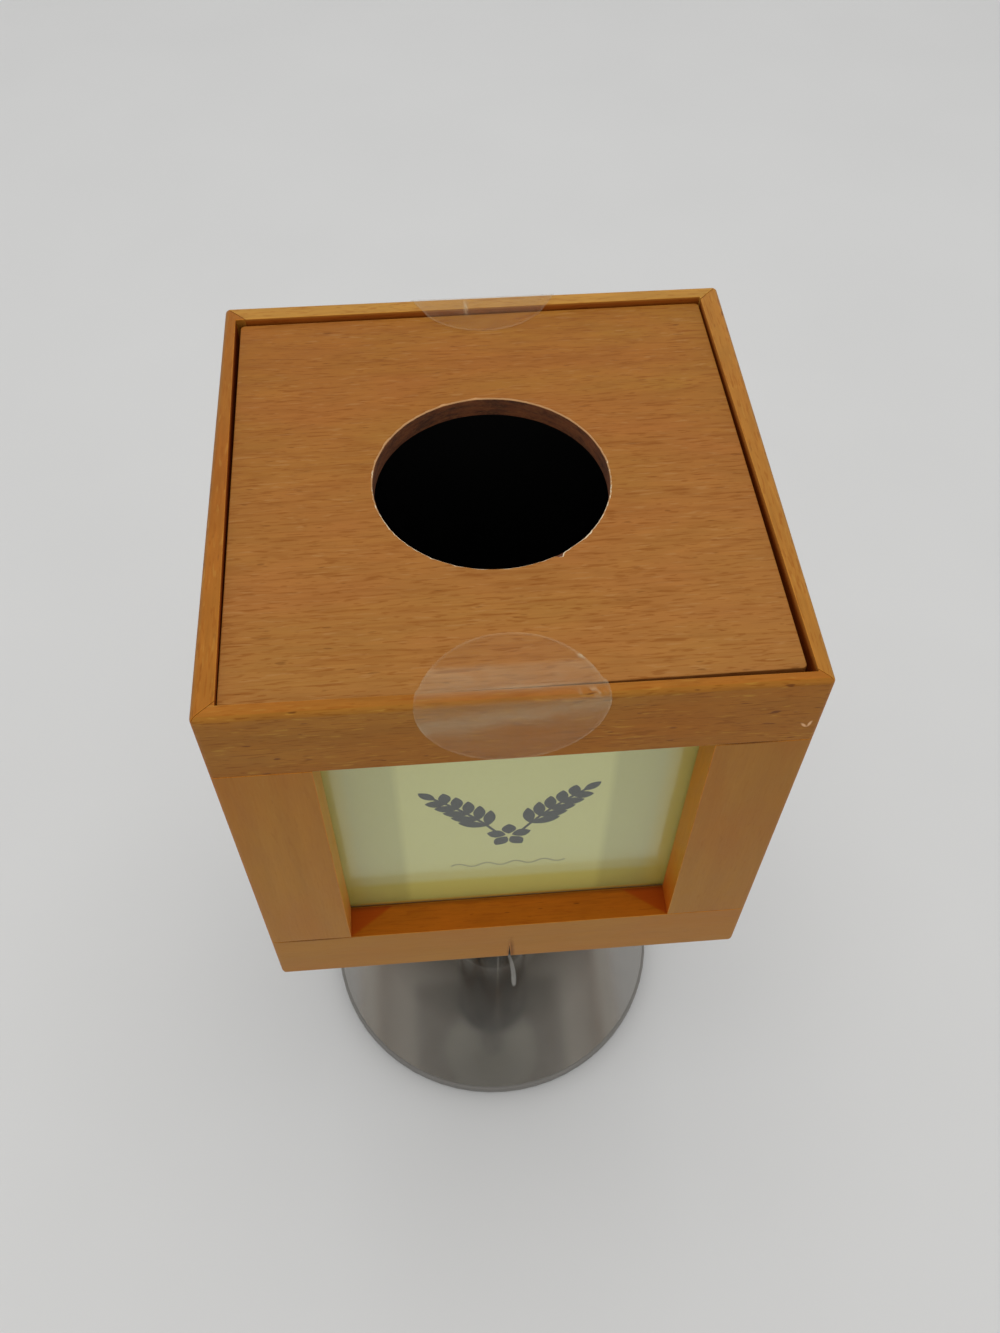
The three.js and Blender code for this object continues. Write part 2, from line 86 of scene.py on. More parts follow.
SEAL_THICKNESS = 0.1 * MM
FRONT_REACH = 16.8 * MM
BACK_REACH = 12 * MM
FRONT_SHIFT = -0.8 * MM
BACK_SHIFT = 2.2 * MM


def srgb(red, green, blue):
    """A linear colour from 0 to 255 display values."""
    def linear(value):
        value /= 255
        return value / 12.92 if value <= 0.04045 else ((value + 0.055) / 1.055) ** 2.4
    return (linear(red), linear(green), linear(blue), 1.0)


# Helpers for materials

def new_material(name):
    material = bpy.data.materials.new(name)
    material.use_nodes = True
    material.node_tree.nodes.clear()
    return material, material.node_tree


def add(tree, kind, settings=None, **inputs):
    """A node with its settings and inputs; an underscore in an input's name stands for a space."""
    node = tree.nodes.new(kind)
    for key, value in (settings or {}).items():
        setattr(node, key, value)
    for key, value in inputs.items():
        feed(tree, node.inputs[key.replace("_", " ")], value)
    return node


def feed(tree, socket, value):
    if isinstance(value, bpy.types.NodeSocket):
        tree.links.new(value, socket)
    else:
        socket.default_value = value


def compute(tree, operation, first, second=0.0, third=0.0, clamp=False):
    node = add(tree, "ShaderNodeMath", {"operation": operation, "use_clamp": clamp})
    for socket, value in zip(node.inputs, (first, second, third)):
        feed(tree, socket, value)
    return node.outputs[0]


def blend_colour(tree, factor, first, second, mode="MIX"):
    node = add(tree, "ShaderNodeMix", {"data_type": "RGBA", "blend_type": mode})
    feed(tree, node.inputs[0], factor)
    feed(tree, node.inputs[6], first)
    feed(tree, node.inputs[7], second)
    return node.outputs[2]


def mixed(tree, factor, first, second):
    """Two shaders mixed."""
    node = add(tree, "ShaderNodeMixShader")
    for socket, value in zip(node.inputs, (factor, first, second)):
        feed(tree, socket, value)
    return node.outputs[0]


def length_of(tree, vector):
    return add(tree, "ShaderNodeVectorMath", {"operation": "LENGTH"}, Vector=vector).outputs["Value"]


def steps(tree, value, *stops, unit=1):
    """A ramp of (position, brightness) stops, with positions in this unit."""
    node = add(tree, "ShaderNodeValToRGB", Fac=value if unit == 1 else compute(tree, "DIVIDE", value, unit))
    ramp = node.color_ramp
    while len(ramp.elements) < len(stops):
        ramp.elements.new(0.5)
    for element, (position, level) in zip(ramp.elements, stops):
        element.position = position
        element.color = (level, level, level, 1)
    return node.outputs[0]


def two_toned(tree, value, dark, light):
    """Two colours blended by a noise."""
    return blend_colour(tree, steps(tree, value, (0.3, 0), (0.7, 1)), dark, light)


def place(tree):
    """Coordinates fixed to the object, in metres."""
    return add(tree, "ShaderNodeTexCoord").outputs["Object"]


def axes(tree, vector):
    return add(tree, "ShaderNodeSeparateXYZ", Vector=vector).outputs


def off_middle(tree):
    """Distances from the object's middle along X and along Y."""
    x, y, _ = axes(tree, place(tree))
    return compute(tree, "ABSOLUTE", x), compute(tree, "ABSOLUTE", y)


def stored(tree, name, output="Fac"):
    """A value that the mesh stores at its vertices."""
    return add(tree, "ShaderNodeAttribute", {"attribute_name": name}).outputs[output]


def cloud(tree, vector, sizes, detail=2.0, rough=0.5, warp=0.0):
    """Noise from 0 to 1, of these sizes in metres along, across and into the piece."""
    scale = [1 / size for size in sizes]
    scaled = add(tree, "ShaderNodeMapping", Vector=vector, Scale=scale).outputs[0]
    node = add(
        tree, "ShaderNodeTexNoise", Vector=scaled, Scale=1.0, Detail=detail, Roughness=rough, Distortion=warp,
    )
    return node.outputs[0]


def plain_cloud(tree, size, **settings):
    """Noise of one size in all directions, fixed to the object."""
    return cloud(tree, place(tree), (size, size, size), **settings)


def bumped(tree, height, distance, strength):
    return add(tree, "ShaderNodeBump", Height=height, Strength=strength, Distance=distance).outputs[0]


def glancing(tree, straight_on, edge_on):
    """How much light a surface mirrors, seen straight on and more when seen edge-on."""
    facing = add(tree, "ShaderNodeLayerWeight", Blend=0.5).outputs["Facing"]
    return compute(tree, "MULTIPLY_ADD", compute(tree, "POWER", facing, 5.0), edge_on, straight_on)


def principled(tree, **inputs):
    return add(tree, "ShaderNodeBsdfPrincipled", **inputs).outputs[0]


def surface(tree, shader):
    add(tree, "ShaderNodeOutputMaterial", Surface=shader)


# Wood

def dash_mask(tree, grain, length, width, rarity):
    """Spindle-shaped dashes along the grain: the highest places of a stretched noise."""
    noise_value = cloud(tree, grain, (length, width, width), detail=1)
    return steps(tree, noise_value, (rarity, 0), (rarity + 0.07, 1))


def ring_lines(tree, grain):
    """Long, wandering lines where the growth rings come to the surface."""
    drift = cloud(tree, grain, (0.14, 0.011, 0.02), detail=3)
    wave = compute(tree, "SINE", compute(tree, "MULTIPLY", drift, 75.0))
    return steps(tree, wave, (0.55, 0), (1.0, 1))


def wood_colour(tree, grain, tones, fibre):
    """Broad bands, patches, curl and fibres of beech. A piece's stored paleness says how pale it is; on the
    frame's bars it is painted light.
    """
    bands = cloud(tree, grain, (0.11, 0.0052, 0.01), detail=3, rough=0.55, warp=0.3)
    curl = cloud(tree, grain, (0.012, 0.0032, 0.006), warp=0.5)
    fibres = cloud(tree, grain, (0.009, 0.00035, 0.0007), detail=3, rough=0.6)
    patches = cloud(tree, grain, (0.035, 0.015, 0.015))
    tint = stored(tree, "tint")

    colour = two_toned(tree, bands, tones["light"], tones["dark"])
    colour = blend_colour(tree, steps(tree, patches, (0.35, 0), (0.7, 0.8)), colour, tones["warm"])
    colour = blend_colour(tree, stored(tree, "paleness"), colour, tones["pale"])
    for value, swing in ((curl, 0.065 * fibre), (fibres, 0.085 * fibre), (tint, 0.09)):
        shade = steps(tree, value, (0.3, 1 - swing), (0.7, 1 + swing))
        colour = blend_colour(tree, 1.0, colour, shade, "MULTIPLY")
    return colour, curl, fibres


def wood_material(name, tones, dashes=0.5, flecks=0.4, fibre=1.0, rings=0.0, gloss=0.42, marks=()):
    """Varnished beech. The grain attribute gives metres along, across and into each piece's grain."""
    material, tree = new_material(name)
    grain = stored(tree, "grain", "Vector")
    colour, curl, fibres = wood_colour(tree, grain, tones, fibre)

    fine = dash_mask(tree, grain, 0.0034, 0.00045, 0.6)
    long = dash_mask(tree, grain, 0.0075, 0.00065, 0.63)
    bright = dash_mask(tree, grain, 0.0045, 0.0006, 0.63)
    strong = dash_mask(tree, grain, 0.0042, 0.0009, 0.7)
    ray = tuple(level * share for level, share in zip(tones["warm"], (0.74, 0.7, 0.52, 1)))
    layers = [
        (bright, dashes * 0.5, tones["pale"]), (fine, dashes * 0.8, ray), (long, dashes * 0.9, ray),
        (strong, flecks, tones["fleck"]),
    ]
    if rings:
        layers.append((ring_lines(tree, grain), rings, ray))
    for mask, amount, tone in layers:
        colour = blend_colour(tree, compute(tree, "MULTIPLY", mask, amount), colour, tone)
    for centre, reach, lean, strength, stain in marks:
        colour = blend_colour(tree, smudge(tree, centre, reach, lean, strength), colour, stain)

    roughness = compute(tree, "MULTIPLY_ADD", curl, 0.16, gloss - 0.08)
    relief = compute(tree, "MULTIPLY_ADD", strong, -0.8, fibres)
    shader = principled(
        tree, Base_Color=colour, Roughness=roughness, Specular_IOR_Level=0.1,
        Normal=bumped(tree, relief, 0.00004, 0.4),
    )
    surface(tree, shader)
    return material


def smudge(tree, centre, reach, lean, strength):
    """A soft-edged, uneven mark round a place on the object, turned about Y by lean degrees."""
    local = add(
        tree, "ShaderNodeMapping", {"vector_type": "TEXTURE"}, Vector=place(tree),
        Location=centre, Rotation=(0, math.radians(lean), 0), Scale=reach,
    ).outputs[0]
    uneven = compute(tree, "MULTIPLY_ADD", plain_cloud(tree, 0.0008, detail=3), 0.6, -0.3)
    distance = compute(tree, "ADD", length_of(tree, local), uneven)
    return steps(tree, distance, (0.35, strength), (0.95, 0))


RAIL_TONES = {
    "light": srgb(156, 104, 38), "dark": srgb(143, 92, 30), "warm": srgb(148, 89, 25),
    "pale": srgb(178, 132, 52), "fleck": srgb(96, 50, 14),
}
RIM_TONES = {
    "light": srgb(160, 104, 37), "dark": srgb(148, 90, 30), "warm": srgb(160, 91, 28),
    "pale": srgb(180, 134, 60), "fleck": srgb(104, 56, 16),
}
SMOOTH_TONES = {
    "light": srgb(156, 105, 37), "dark": srgb(145, 95, 30), "warm": srgb(149, 89, 26),
    "pale": srgb(176, 135, 71), "fleck": srgb(110, 64, 24),
}
LID_TONES = {
    "light": srgb(151, 101, 36), "dark": srgb(143, 90, 31), "warm": srgb(152, 91, 37),
    "pale": srgb(170, 123, 72), "fleck": srgb(106, 60, 18),
}
JAMB_TONES = {
    "light": srgb(200, 149, 62), "dark": srgb(186, 134, 54), "warm": srgb(192, 136, 50),
    "pale": srgb(206, 164, 84), "fleck": srgb(134, 84, 30),
}
# Painted light: the right jamb's tones, more orange than the left jamb's, are a lit copy of the same wood,
# for the jamb that faces the other way.
RIGHT_JAMB_TONES = {
    "light": srgb(194, 130, 33), "dark": srgb(178, 114, 26), "warm": srgb(190, 118, 20),
    "pale": srgb(200, 148, 50), "fleck": srgb(124, 72, 16),
}
RETURN_TONES = {
    "light": srgb(168, 95, 16), "dark": srgb(152, 81, 13), "warm": srgb(160, 81, 13),
    "pale": srgb(174, 98, 14), "fleck": srgb(92, 42, 6),
}
# Painted shade: the dark walls of the narrow gap round the lid.
GAP_SHADE_TONES = {
    "light": srgb(138, 64, 12), "dark": srgb(116, 48, 8), "warm": srgb(128, 52, 8),
    "pale": srgb(150, 80, 20), "fleck": srgb(70, 26, 6),
}
# Painted highlight: the eased edges are lighter and more orange than the faces beside them.
ARRIS_HIGHLIGHT_TONES = {
    "light": srgb(182, 118, 38), "dark": srgb(168, 104, 30), "warm": srgb(178, 100, 24),
    "pale": srgb(196, 146, 62), "fleck": srgb(120, 70, 26),
}
PLAIN_TONES = {
    "light": srgb(205, 172, 126), "dark": srgb(186, 150, 104), "warm": srgb(196, 154, 106),
    "pale": srgb(216, 188, 146), "fleck": srgb(140, 100, 60),
}


def front_mark(x, height, size, lean, strength, colour):
    """A mark on the cube's front. Its place, across and up from the foot, and size are in millimetres."""
    centre = (x * MM, -HALF, CUBE_LOW + height * MM)
    return centre, tuple(length * MM for length in size), lean, strength, colour


CHIPPED = srgb(216, 170, 124)
CRACK = srgb(96, 52, 10)
CHIP = [
    front_mark(56.65, 105.4, (1.25, 2, 0.42), 49, 0.9, CHIPPED),
    front_mark(57.77, 105.8, (1.4, 2, 0.42), -75, 0.9, CHIPPED),
]
TOP_CRACK = front_mark(47, 100, (9, 2, 0.5), 0, 0.8, CRACK)
LOW_CRACK = front_mark(-49, 20, (13, 2, 0.6), 0, 0.75, CRACK)
SLIT_STAIN = front_mark(0.3, 3, (1.2, 4, 11), 0, 0.85, srgb(112, 66, 16))

RAIL_WOOD = wood_material(
    "rail_wood", RAIL_TONES, dashes=0.8, flecks=0.8, fibre=0.8, marks=[*CHIP, TOP_CRACK],
)
SMOOTH_WOOD = wood_material(
    "smooth_wood", SMOOTH_TONES, dashes=0.12, flecks=0.12, fibre=0.35,
    marks=[TOP_CRACK, LOW_CRACK, SLIT_STAIN],
)
RIM_WOOD = wood_material("rim_wood", RIM_TONES, dashes=0.5, flecks=0.3)
LID_WOOD = wood_material("lid_wood", LID_TONES, dashes=0.72, flecks=0.5, fibre=0.7, rings=0.3)
# Painted highlight on the eased edges.
ARRIS_HIGHLIGHT_WOOD = wood_material("arris_highlight_wood", ARRIS_HIGHLIGHT_TONES, flecks=0.2, gloss=0.32, marks=[TOP_CRACK, LOW_CRACK])
PLAIN_WOOD = wood_material("plain_wood", PLAIN_TONES, gloss=0.6)


def recoloured(material, factor, tint):
    """Blends a tint into a finished material's colour."""
    tree = material.node_tree
    shader = next(node for node in tree.nodes if node.type == "BSDF_PRINCIPLED")
    socket = shader.inputs["Base Color"]
    feed(tree, socket, blend_colour(tree, factor, socket.links[0].from_socket, tint))


def jamb_wood(name, tones, redness):
    """The window's upright returns, redder towards the foot."""
    material = wood_material(name, tones, dashes=0.2, flecks=0.2, fibre=0.5)
    tree = material.node_tree
    height = compute(tree, "SUBTRACT", axes(tree, place(tree))[2], WINDOW_FOOT)
    glow = steps(tree, height, (0.0, redness), (0.7, 0), unit=WINDOW_HALF)
    recoloured(material, glow, srgb(186, 86, 16))
    return material


def return_wood():
    """The window's lower return: orange, with painted shade: dark at its back edge, and dark red corners
    where the jambs shade it.
    """
    material = wood_material("return_wood", RETURN_TONES, dashes=0.4, flecks=0.6)
    tree = material.node_tree
    slant = 11 / 8
    blur = 1.3 * MM
    x, y = off_middle(tree)
    # Painted shade: dark red triangles at the corners, where the jambs shade the return.
    from_jamb = compute(tree, "SUBTRACT", compute(tree, "MINIMUM", x, y), WINDOW_HALF)
    from_front = compute(tree, "SUBTRACT", HALF, compute(tree, "MAXIMUM", x, y))
    inside = compute(tree, "MULTIPLY_ADD", from_front, slant, from_jamb)
    inside = compute(tree, "MULTIPLY_ADD", inside, 1 / blur, 0.4)
    corner = steps(tree, inside, (0, 0), (1, 0.76))
    # Painted shade along the back edge, by the slot.
    back_edge_shade = steps(tree, from_front, (0.84, 0), (0.98, 0.5), unit=FRAME_DEPTH)
    recoloured(material, corner, srgb(158, 60, 8))
    recoloured(material, back_edge_shade, srgb(74, 38, 8))
    return material


def gap_shade_wood():
    """Walls of the lid's rebate, in painted shade: dark and red below, and golden near the rim as painted
    light, reaching deepest on the right wall.
    """
    material = wood_material("gap_shade_wood", GAP_SHADE_TONES, gloss=0.6)
    tree = material.node_tree
    golden = 1.2 * MM
    more_on_right = 1.6 * MM
    x, _, z = axes(tree, place(tree))
    right = steps(tree, x, (0.98, 0), (1.0, 1), unit=LID_HALF)
    reach = compute(tree, "MULTIPLY_ADD", right, more_on_right, golden)
    depth = compute(tree, "SUBTRACT", CUBE_TOP, z)
    # Painted light: a golden band down from the rim, deeper on the right wall.
    recoloured(material, steps(tree, depth, (0.05, 1), (0.6, 0), unit=reach), srgb(166, 108, 42))
    return material


JAMB_WOOD = jamb_wood("jamb_wood", JAMB_TONES, 0.65)
# The right jamb's own tones and stronger redness are painted light.
RIGHT_JAMB_WOOD = jamb_wood("right_jamb_wood", RIGHT_JAMB_TONES, 0.95)
RETURN_WOOD = return_wood()
GAP_SHADE_WOOD = gap_shade_wood()
PALE_BOARD = srgb(226, 206, 172)


def raw_board():
    """Cut edge of the lid's board: brown and fibrous."""
    material, tree = new_material("raw_board")
    fine = cloud(tree, place(tree), (0.0012, 0.0012, 0.0005), detail=5, rough=0.7)
    broad = cloud(tree, place(tree), (0.006, 0.006, 0.0012), detail=3)
    speck_place = (-1.5 * MM, HOLE_RADIUS + HOLE_SHIFT, 0.5 * MM)
    speck = smudge(tree, speck_place, (1.2 * MM, 2 * MM, 0.5 * MM), 0, 0.8)
    darker = steps(tree, broad, (0.35, 0), (0.65, 1))
    colour = blend_colour(tree, darker, srgb(110, 58, 25), srgb(66, 33, 13))
    colour = blend_colour(tree, steps(tree, fine, (0.45, 0), (0.8, 0.6)), colour, srgb(138, 88, 44))
    colour = blend_colour(tree, speck, colour, PALE_BOARD)
    relief = bumped(tree, fine, 0.0002, 0.8)
    surface(tree, principled(tree, Base_Color=colour, Roughness=0.85, Normal=relief))
    return material


def chipped_and_highlit_edge():
    """The hole's rim, lightened as a painted highlight along its edge. Its wear attribute says how much
    varnish has chipped off to the pale board.
    """
    material, tree = new_material("chipped_and_highlit_edge")
    chips = cloud(tree, place(tree), (0.0014, 0.0014, 0.001), detail=4, rough=0.65)
    level = compute(tree, "MULTIPLY_ADD", stored(tree, "wear"), 0.34, compute(tree, "SUBTRACT", chips, 0.3))
    chipped = steps(tree, level, (0.4, 0), (0.5, 1))
    # The varnished rim's light colour is a painted highlight; the chips show the pale board.
    colour = blend_colour(tree, chipped, srgb(190, 142, 92), PALE_BOARD)
    relief = bumped(tree, chips, 0.0002, 0.7)
    surface(tree, principled(tree, Base_Color=colour, Roughness=0.7, Normal=relief))
    return material


RAW_BOARD = raw_board()
CHIPPED_AND_HIGHLIT_EDGE = chipped_and_highlit_edge()


# Boards, paper, plastics and felt

def fibrous(name, dark, light, roughness, scale=0.0008, bump=0.00004, specular=0.5):
    """A matt material with small fibres and a broad, faint unevenness."""
    material, tree = new_material(name)
    fine = plain_cloud(tree, scale, detail=4, rough=0.65)
    broad = plain_cloud(tree, 0.03)
    mix = compute(tree, "MULTIPLY_ADD", broad, 0.6, compute(tree, "MULTIPLY", fine, 0.4))
    shader = principled(
        tree, Base_Color=two_toned(tree, mix, dark, light), Roughness=roughness,
        Specular_IOR_Level=specular, Normal=bumped(tree, fine, bump, 0.7),
    )
    surface(tree, shader)
    return material


BLACK_BOARD = fibrous("black_board", srgb(9, 9, 10), srgb(16, 15, 15), 0.92)
GREY_BOARD = fibrous("grey_board", srgb(124, 119, 108), srgb(146, 140, 128), 0.92)
INK = fibrous("print_ink", srgb(60, 62, 58), srgb(74, 76, 70), 0.6, scale=0.0004, bump=0.00001)
PALE_INK = fibrous("pale_ink", srgb(158, 156, 116), srgb(170, 166, 122), 0.6, scale=0.0004, bump=0.00001)
BLACK_NYLON = fibrous("black_nylon", srgb(42, 41, 40), srgb(50, 49, 47), 0.5, bump=0.00001)
WHITE_NYLON = fibrous("white_nylon", srgb(222, 219, 208), srgb(232, 230, 221), 0.45, bump=0.00001)
FELT = fibrous("felt", srgb(26, 28, 30), srgb(52, 54, 57), 0.98, scale=0.0004, bump=0.0003)


def print_paper():
    """Pale yellow-green paper with painted light on it: darker strips at its sides beside a painted
    reflection down its middle, an olive band of painted reflection and shade along its foot, and painted
    light at its very foot and outer edges.
    """
    material, tree = new_material("print_paper")
    x, _, z = axes(tree, stored(tree, "spot", "Vector"))
    fine = plain_cloud(tree, 0.0006, detail=3, rough=0.6)
    middle = -1 * MM
    olive_band = 20 * MM
    glow = 4 * MM
    off = compute(tree, "ABSOLUTE", compute(tree, "SUBTRACT", x, middle))
    # Painted reflection: darker strips at the sides, beside a lighter band down the middle.
    side = steps(tree, off, (0.575, 0), (0.625, 1), unit=WINDOW_HALF)
    # Painted light at the outer edges, by the jambs.
    edge = steps(tree, off, (0.86, 0), (0.985, 0.8), unit=WINDOW_HALF)
    # Painted reflection of the orange return, with painted shade: the olive band along the foot.
    foot = steps(tree, z, (0.43, 0.9), (0.54, 0), unit=olive_band)
    # Painted light low in the slot, at the very foot.
    slot_light = steps(tree, compute(tree, "MULTIPLY_ADD", z, 1 / glow, 0.5), (0.3, 0.9), (0.52, 0))
    colour = two_toned(tree, fine, srgb(205, 201, 139), srgb(210, 206, 144))
    colour = blend_colour(tree, foot, colour, srgb(204, 193, 101))
    colour = blend_colour(tree, compute(tree, "MULTIPLY", side, 0.21), colour, srgb(40, 34, 0))
    colour = blend_colour(tree, slot_light, colour, srgb(250, 196, 90))
    colour = blend_colour(tree, edge, colour, srgb(204, 184, 82))
    surface(tree, principled(tree, Base_Color=colour, Roughness=0.75))
    return material


PAPER = print_paper()


# Metals

def metal(name, colour, metallic, roughness):
    """Metal with soft stains and faint fine scratches."""
    material, tree = new_material(name)
    smear = plain_cloud(tree, 0.02, detail=4, rough=0.6)
    fine = cloud(tree, place(tree), (0.004, 0.0004, 0.004), detail=3, rough=0.7)
    tone = blend_colour(tree, 1.0, colour, steps(tree, smear, (0.3, 0.95), (0.7, 1.04)), "MULTIPLY")
    rough = compute(tree, "MULTIPLY_ADD", compute(tree, "ADD", fine, smear), 0.05, roughness - 0.05)
    scratches = bumped(tree, fine, 0.000002, 0.3)
    surface(tree, principled(tree, Base_Color=tone, Metallic=metallic, Roughness=rough, Normal=scratches))
    return material


SATIN_STEEL = metal("satin_steel", srgb(200, 197, 191), 0.85, 0.12)
EDGE_STEEL = metal("edge_steel", srgb(120, 117, 112), 0.3, 0.5)
COLUMN_STEEL = metal("column_steel", srgb(88, 86, 81), 1.0, 0.08)
TURNED_STEEL = metal("turned_steel", srgb(150, 146, 140), 1.0, 0.16)
ZINC_STEEL = metal("zinc_steel", srgb(188, 186, 176), 1.0, 0.36)


def column_painted_light():
    """Painted light on the column: it is brighter towards its foot, and has a painted highlight down its
    front.
    """
    lit_part = 55 * MM
    highlight_place = 1.2 * MM
    highlight_width = 1 * MM
    tree = COLUMN_STEEL.node_tree
    x, y, z = axes(tree, place(tree))
    height = compute(tree, "SUBTRACT", z, DISC_TOP)
    bright = steps(tree, height, (0, 0.6), (0.4, 0.3), (1, 0), unit=lit_part)
    recoloured(COLUMN_STEEL, bright, srgb(200, 197, 190))
    off = compute(tree, "ABSOLUTE", compute(tree, "SUBTRACT", x, highlight_place))
    line = steps(tree, off, (0.15, 1), (0.4, 0), unit=highlight_width)
    front_highlight = compute(tree, "MULTIPLY", line, compute(tree, "LESS_THAN", y, 0.0))
    recoloured(COLUMN_STEEL, front_highlight, srgb(232, 230, 224))


def foot_painted_shade():
    """Painted shade on the disc round the column's foot, strongest a little way out from the column and gone
    at its reach.
    """
    reach = 40 * MM
    tree = SATIN_STEEL.node_tree
    flat = add(tree, "ShaderNodeMapping", Vector=place(tree), Scale=(1 / reach, 1 / reach, 0)).outputs[0]
    painted_shade = steps(tree, length_of(tree, flat), (0.3, 0.3), (0.46, 0.64), (0.62, 0.45), (0.98, 0))
    recoloured(SATIN_STEEL, painted_shade, srgb(96, 93, 88))


column_painted_light()
foot_painted_shade()


def underside():
    """The cube's bottom board: grey-beige, with a dark square of painted shade in its middle."""
    material, tree = new_material("underside")
    fine = plain_cloud(tree, 0.001, detail=4, rough=0.65)
    reach = compute(tree, "MAXIMUM", *off_middle(tree))
    # Painted shade: the dark square under the cube's middle.
    square = steps(tree, reach, (0.86, 1), (0.89, 0), unit=WINDOW_HALF)
    colour = two_toned(tree, fine, srgb(186, 181, 172), srgb(200, 195, 186))
    colour = blend_colour(tree, square, colour, srgb(128, 122, 113))
    relief = bumped(tree, fine, 0.00005, 0.6)
    surface(tree, principled(tree, Base_Color=colour, Roughness=0.8, Normal=relief))
    return material


UNDERSIDE = underside()


# Glass and film

def pane_glass():
    """Clear glass that bends what is seen through it. Shadows pass straight through."""
    material, tree = new_material("clear_glass")
    mirror = glancing(tree, 0.042, 0.9)
    smears = plain_cloud(tree, 0.03, detail=5, rough=0.6)
    rough = steps(tree, smears, (0.4, 0.1), (0.8, 0.16))
    rays = add(tree, "ShaderNodeLightPath")
    straight = compute(tree, "MAXIMUM", rays.outputs["Is Shadow Ray"], rays.outputs["Is Diffuse Ray"])
    clear = add(tree, "ShaderNodeBsdfTransparent", Color=(0.97, 0.985, 0.975, 1))
    bent = add(tree, "ShaderNodeBsdfRefraction", Color=(0.985, 0.995, 0.99, 1), Roughness=0.0, IOR=1.5)
    gloss = add(tree, "ShaderNodeBsdfGlossy", Color=(1, 1, 1, 1), Roughness=rough)
    through = mixed(tree, straight, bent.outputs[0], clear.outputs[0])
    surface(tree, mixed(tree, mirror, through, gloss.outputs[0]))
    return material


def film(name, milk_and_sheen_colour):
    """Clear film. Its stored attribute says how cloudy it looks: real milkiness in the torn strip, and
    painted reflection on the seals, at creases and where they are bent.
    """
    material, tree = new_material(name)
    haze = cloud(tree, place(tree), (0.006, 0.003, 0.003), detail=4, rough=0.6, warp=0.6)
    wrinkle = cloud(tree, place(tree), (0.012, 0.0014, 0.0014), detail=3, rough=0.6, warp=1.0)
    cloudy = steps(tree, haze, (0.3, 0.6), (0.7, 1.3))
    # Cloudiness from the stored attribute: painted reflection on the seals, real milkiness in the torn strip.
    milk_and_sheen_mix = compute(tree, "MULTIPLY", stored(tree, "milk_and_sheen"), cloudy, clamp=True)
    clear = add(tree, "ShaderNodeBsdfTransparent", Color=(0.99, 0.985, 0.98, 1))
    normal = bumped(tree, wrinkle, 0.0002, 0.5)
    milk_and_sheen_shader = principled(tree, Base_Color=milk_and_sheen_colour, Roughness=0.5, Specular_IOR_Level=0.2, Normal=normal)
    shine = glancing(tree, 0.004, 0.07)
    gloss = add(tree, "ShaderNodeBsdfGlossy", Color=(1, 1, 1, 1), Roughness=0.18, Normal=normal)
    surface(tree, mixed(tree, shine, mixed(tree, milk_and_sheen_mix, clear.outputs[0], milk_and_sheen_shader), gloss.outputs[0]))
    return material


GLASS = pane_glass()
GLASS_FOOT = fibrous("glass_foot", srgb(126, 78, 24), srgb(150, 96, 34), 0.8, specular=0.0)
# The seals' cloudy colour is the colour of their painted reflection.
FILM = film("clear_film", srgb(214, 193, 156))
SCRAP_FILM = film("torn_film", srgb(206, 205, 198))


# Helpers for meshes

SMOOTH_BELOW = math.radians(35)
SHARP_ABOVE = math.radians(50)


def hump(value, centre, width):
    """A bell curve, 1 at its centre."""
    return math.exp(-(((value - centre) / width) ** 2))


def link(name, mesh):
    piece = bpy.data.objects.new(name, mesh)
    bpy.context.scene.collection.objects.link(piece)
    return piece


def mesh_from(shape, name):
    mesh = bpy.data.meshes.new(name)
    shape.to_mesh(mesh)
    shape.free()
    return mesh


def smooth(piece):
    """Smooth shading in which large faces stay flat."""
    mesh = piece.data
    mesh.polygons.foreach_set("use_smooth", [True] * len(mesh.polygons))
    mesh.set_sharp_from_angle(angle=SMOOTH_BELOW)
    weighted = piece.modifiers.new("large_faces_first", "WEIGHTED_NORMAL")
    weighted.weight = 100
    weighted.keep_sharp = True


def set_values(mesh, name, values):
    """Stores a number or a vector at each vertex, for the materials."""
    if isinstance(values[0], Vector):
        rows = mesh.attributes.new(name, "FLOAT_VECTOR", "POINT").data
        rows.foreach_set("vector", [number for value in values for number in value])
    else:
        mesh.attributes.new(name, "FLOAT", "POINT").data.foreach_set("value", values)


def set_grain(mesh, along, across, seed):
    """Stores each vertex's place along and across the grain, shifted at random from piece to piece."""
    draw = random.Random(seed)
    shift = Vector((draw.uniform(0, 9), draw.uniform(0, 9), draw.uniform(0, 9)))
    into = along.cross(across)
    rows = [Vector((v.co.dot(along), v.co.dot(across), v.co.dot(into))) + shift for v in mesh.vertices]
    set_values(mesh, "grain", rows)
    set_values(mesh, "tint", [draw.uniform(0.4, 0.6)] * len(mesh.vertices))


def eased_copy(node, name, bevel):
    """A copy of a CAD node's mesh with its sharp edges eased by a small round, in material slot 1."""
    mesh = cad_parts[node].data.copy()
    mesh.materials.clear()
    shape = bmesh.new()
    shape.from_mesh(mesh)
    bmesh.ops.remove_doubles(shape, verts=shape.verts, dist=0.001 * MM)
    bmesh.ops.dissolve_limit(shape, angle_limit=math.radians(1), verts=shape.verts, edges=shape.edges)
    if bevel:
        sharp = [e for e in shape.edges if e.is_manifold and e.calc_face_angle() > SHARP_ABOVE]
        rounds = bmesh.ops.bevel(
            shape, geom=sharp, offset=bevel, offset_type="OFFSET", segments=2,
            profile=0.5, affect="EDGES", clamp_overlap=True, material=-1,
        )
        for face in rounds["faces"]:
            face.material_index = 1
    shape.to_mesh(mesh)
    shape.free()
    piece = link(name, mesh)
    smooth(piece)
    return piece


def finish_piece(piece, node, slot, body, *materials):
    for material in materials:
        piece.data.materials.append(material)
    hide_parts(node)
    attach(piece, body)


# Frames

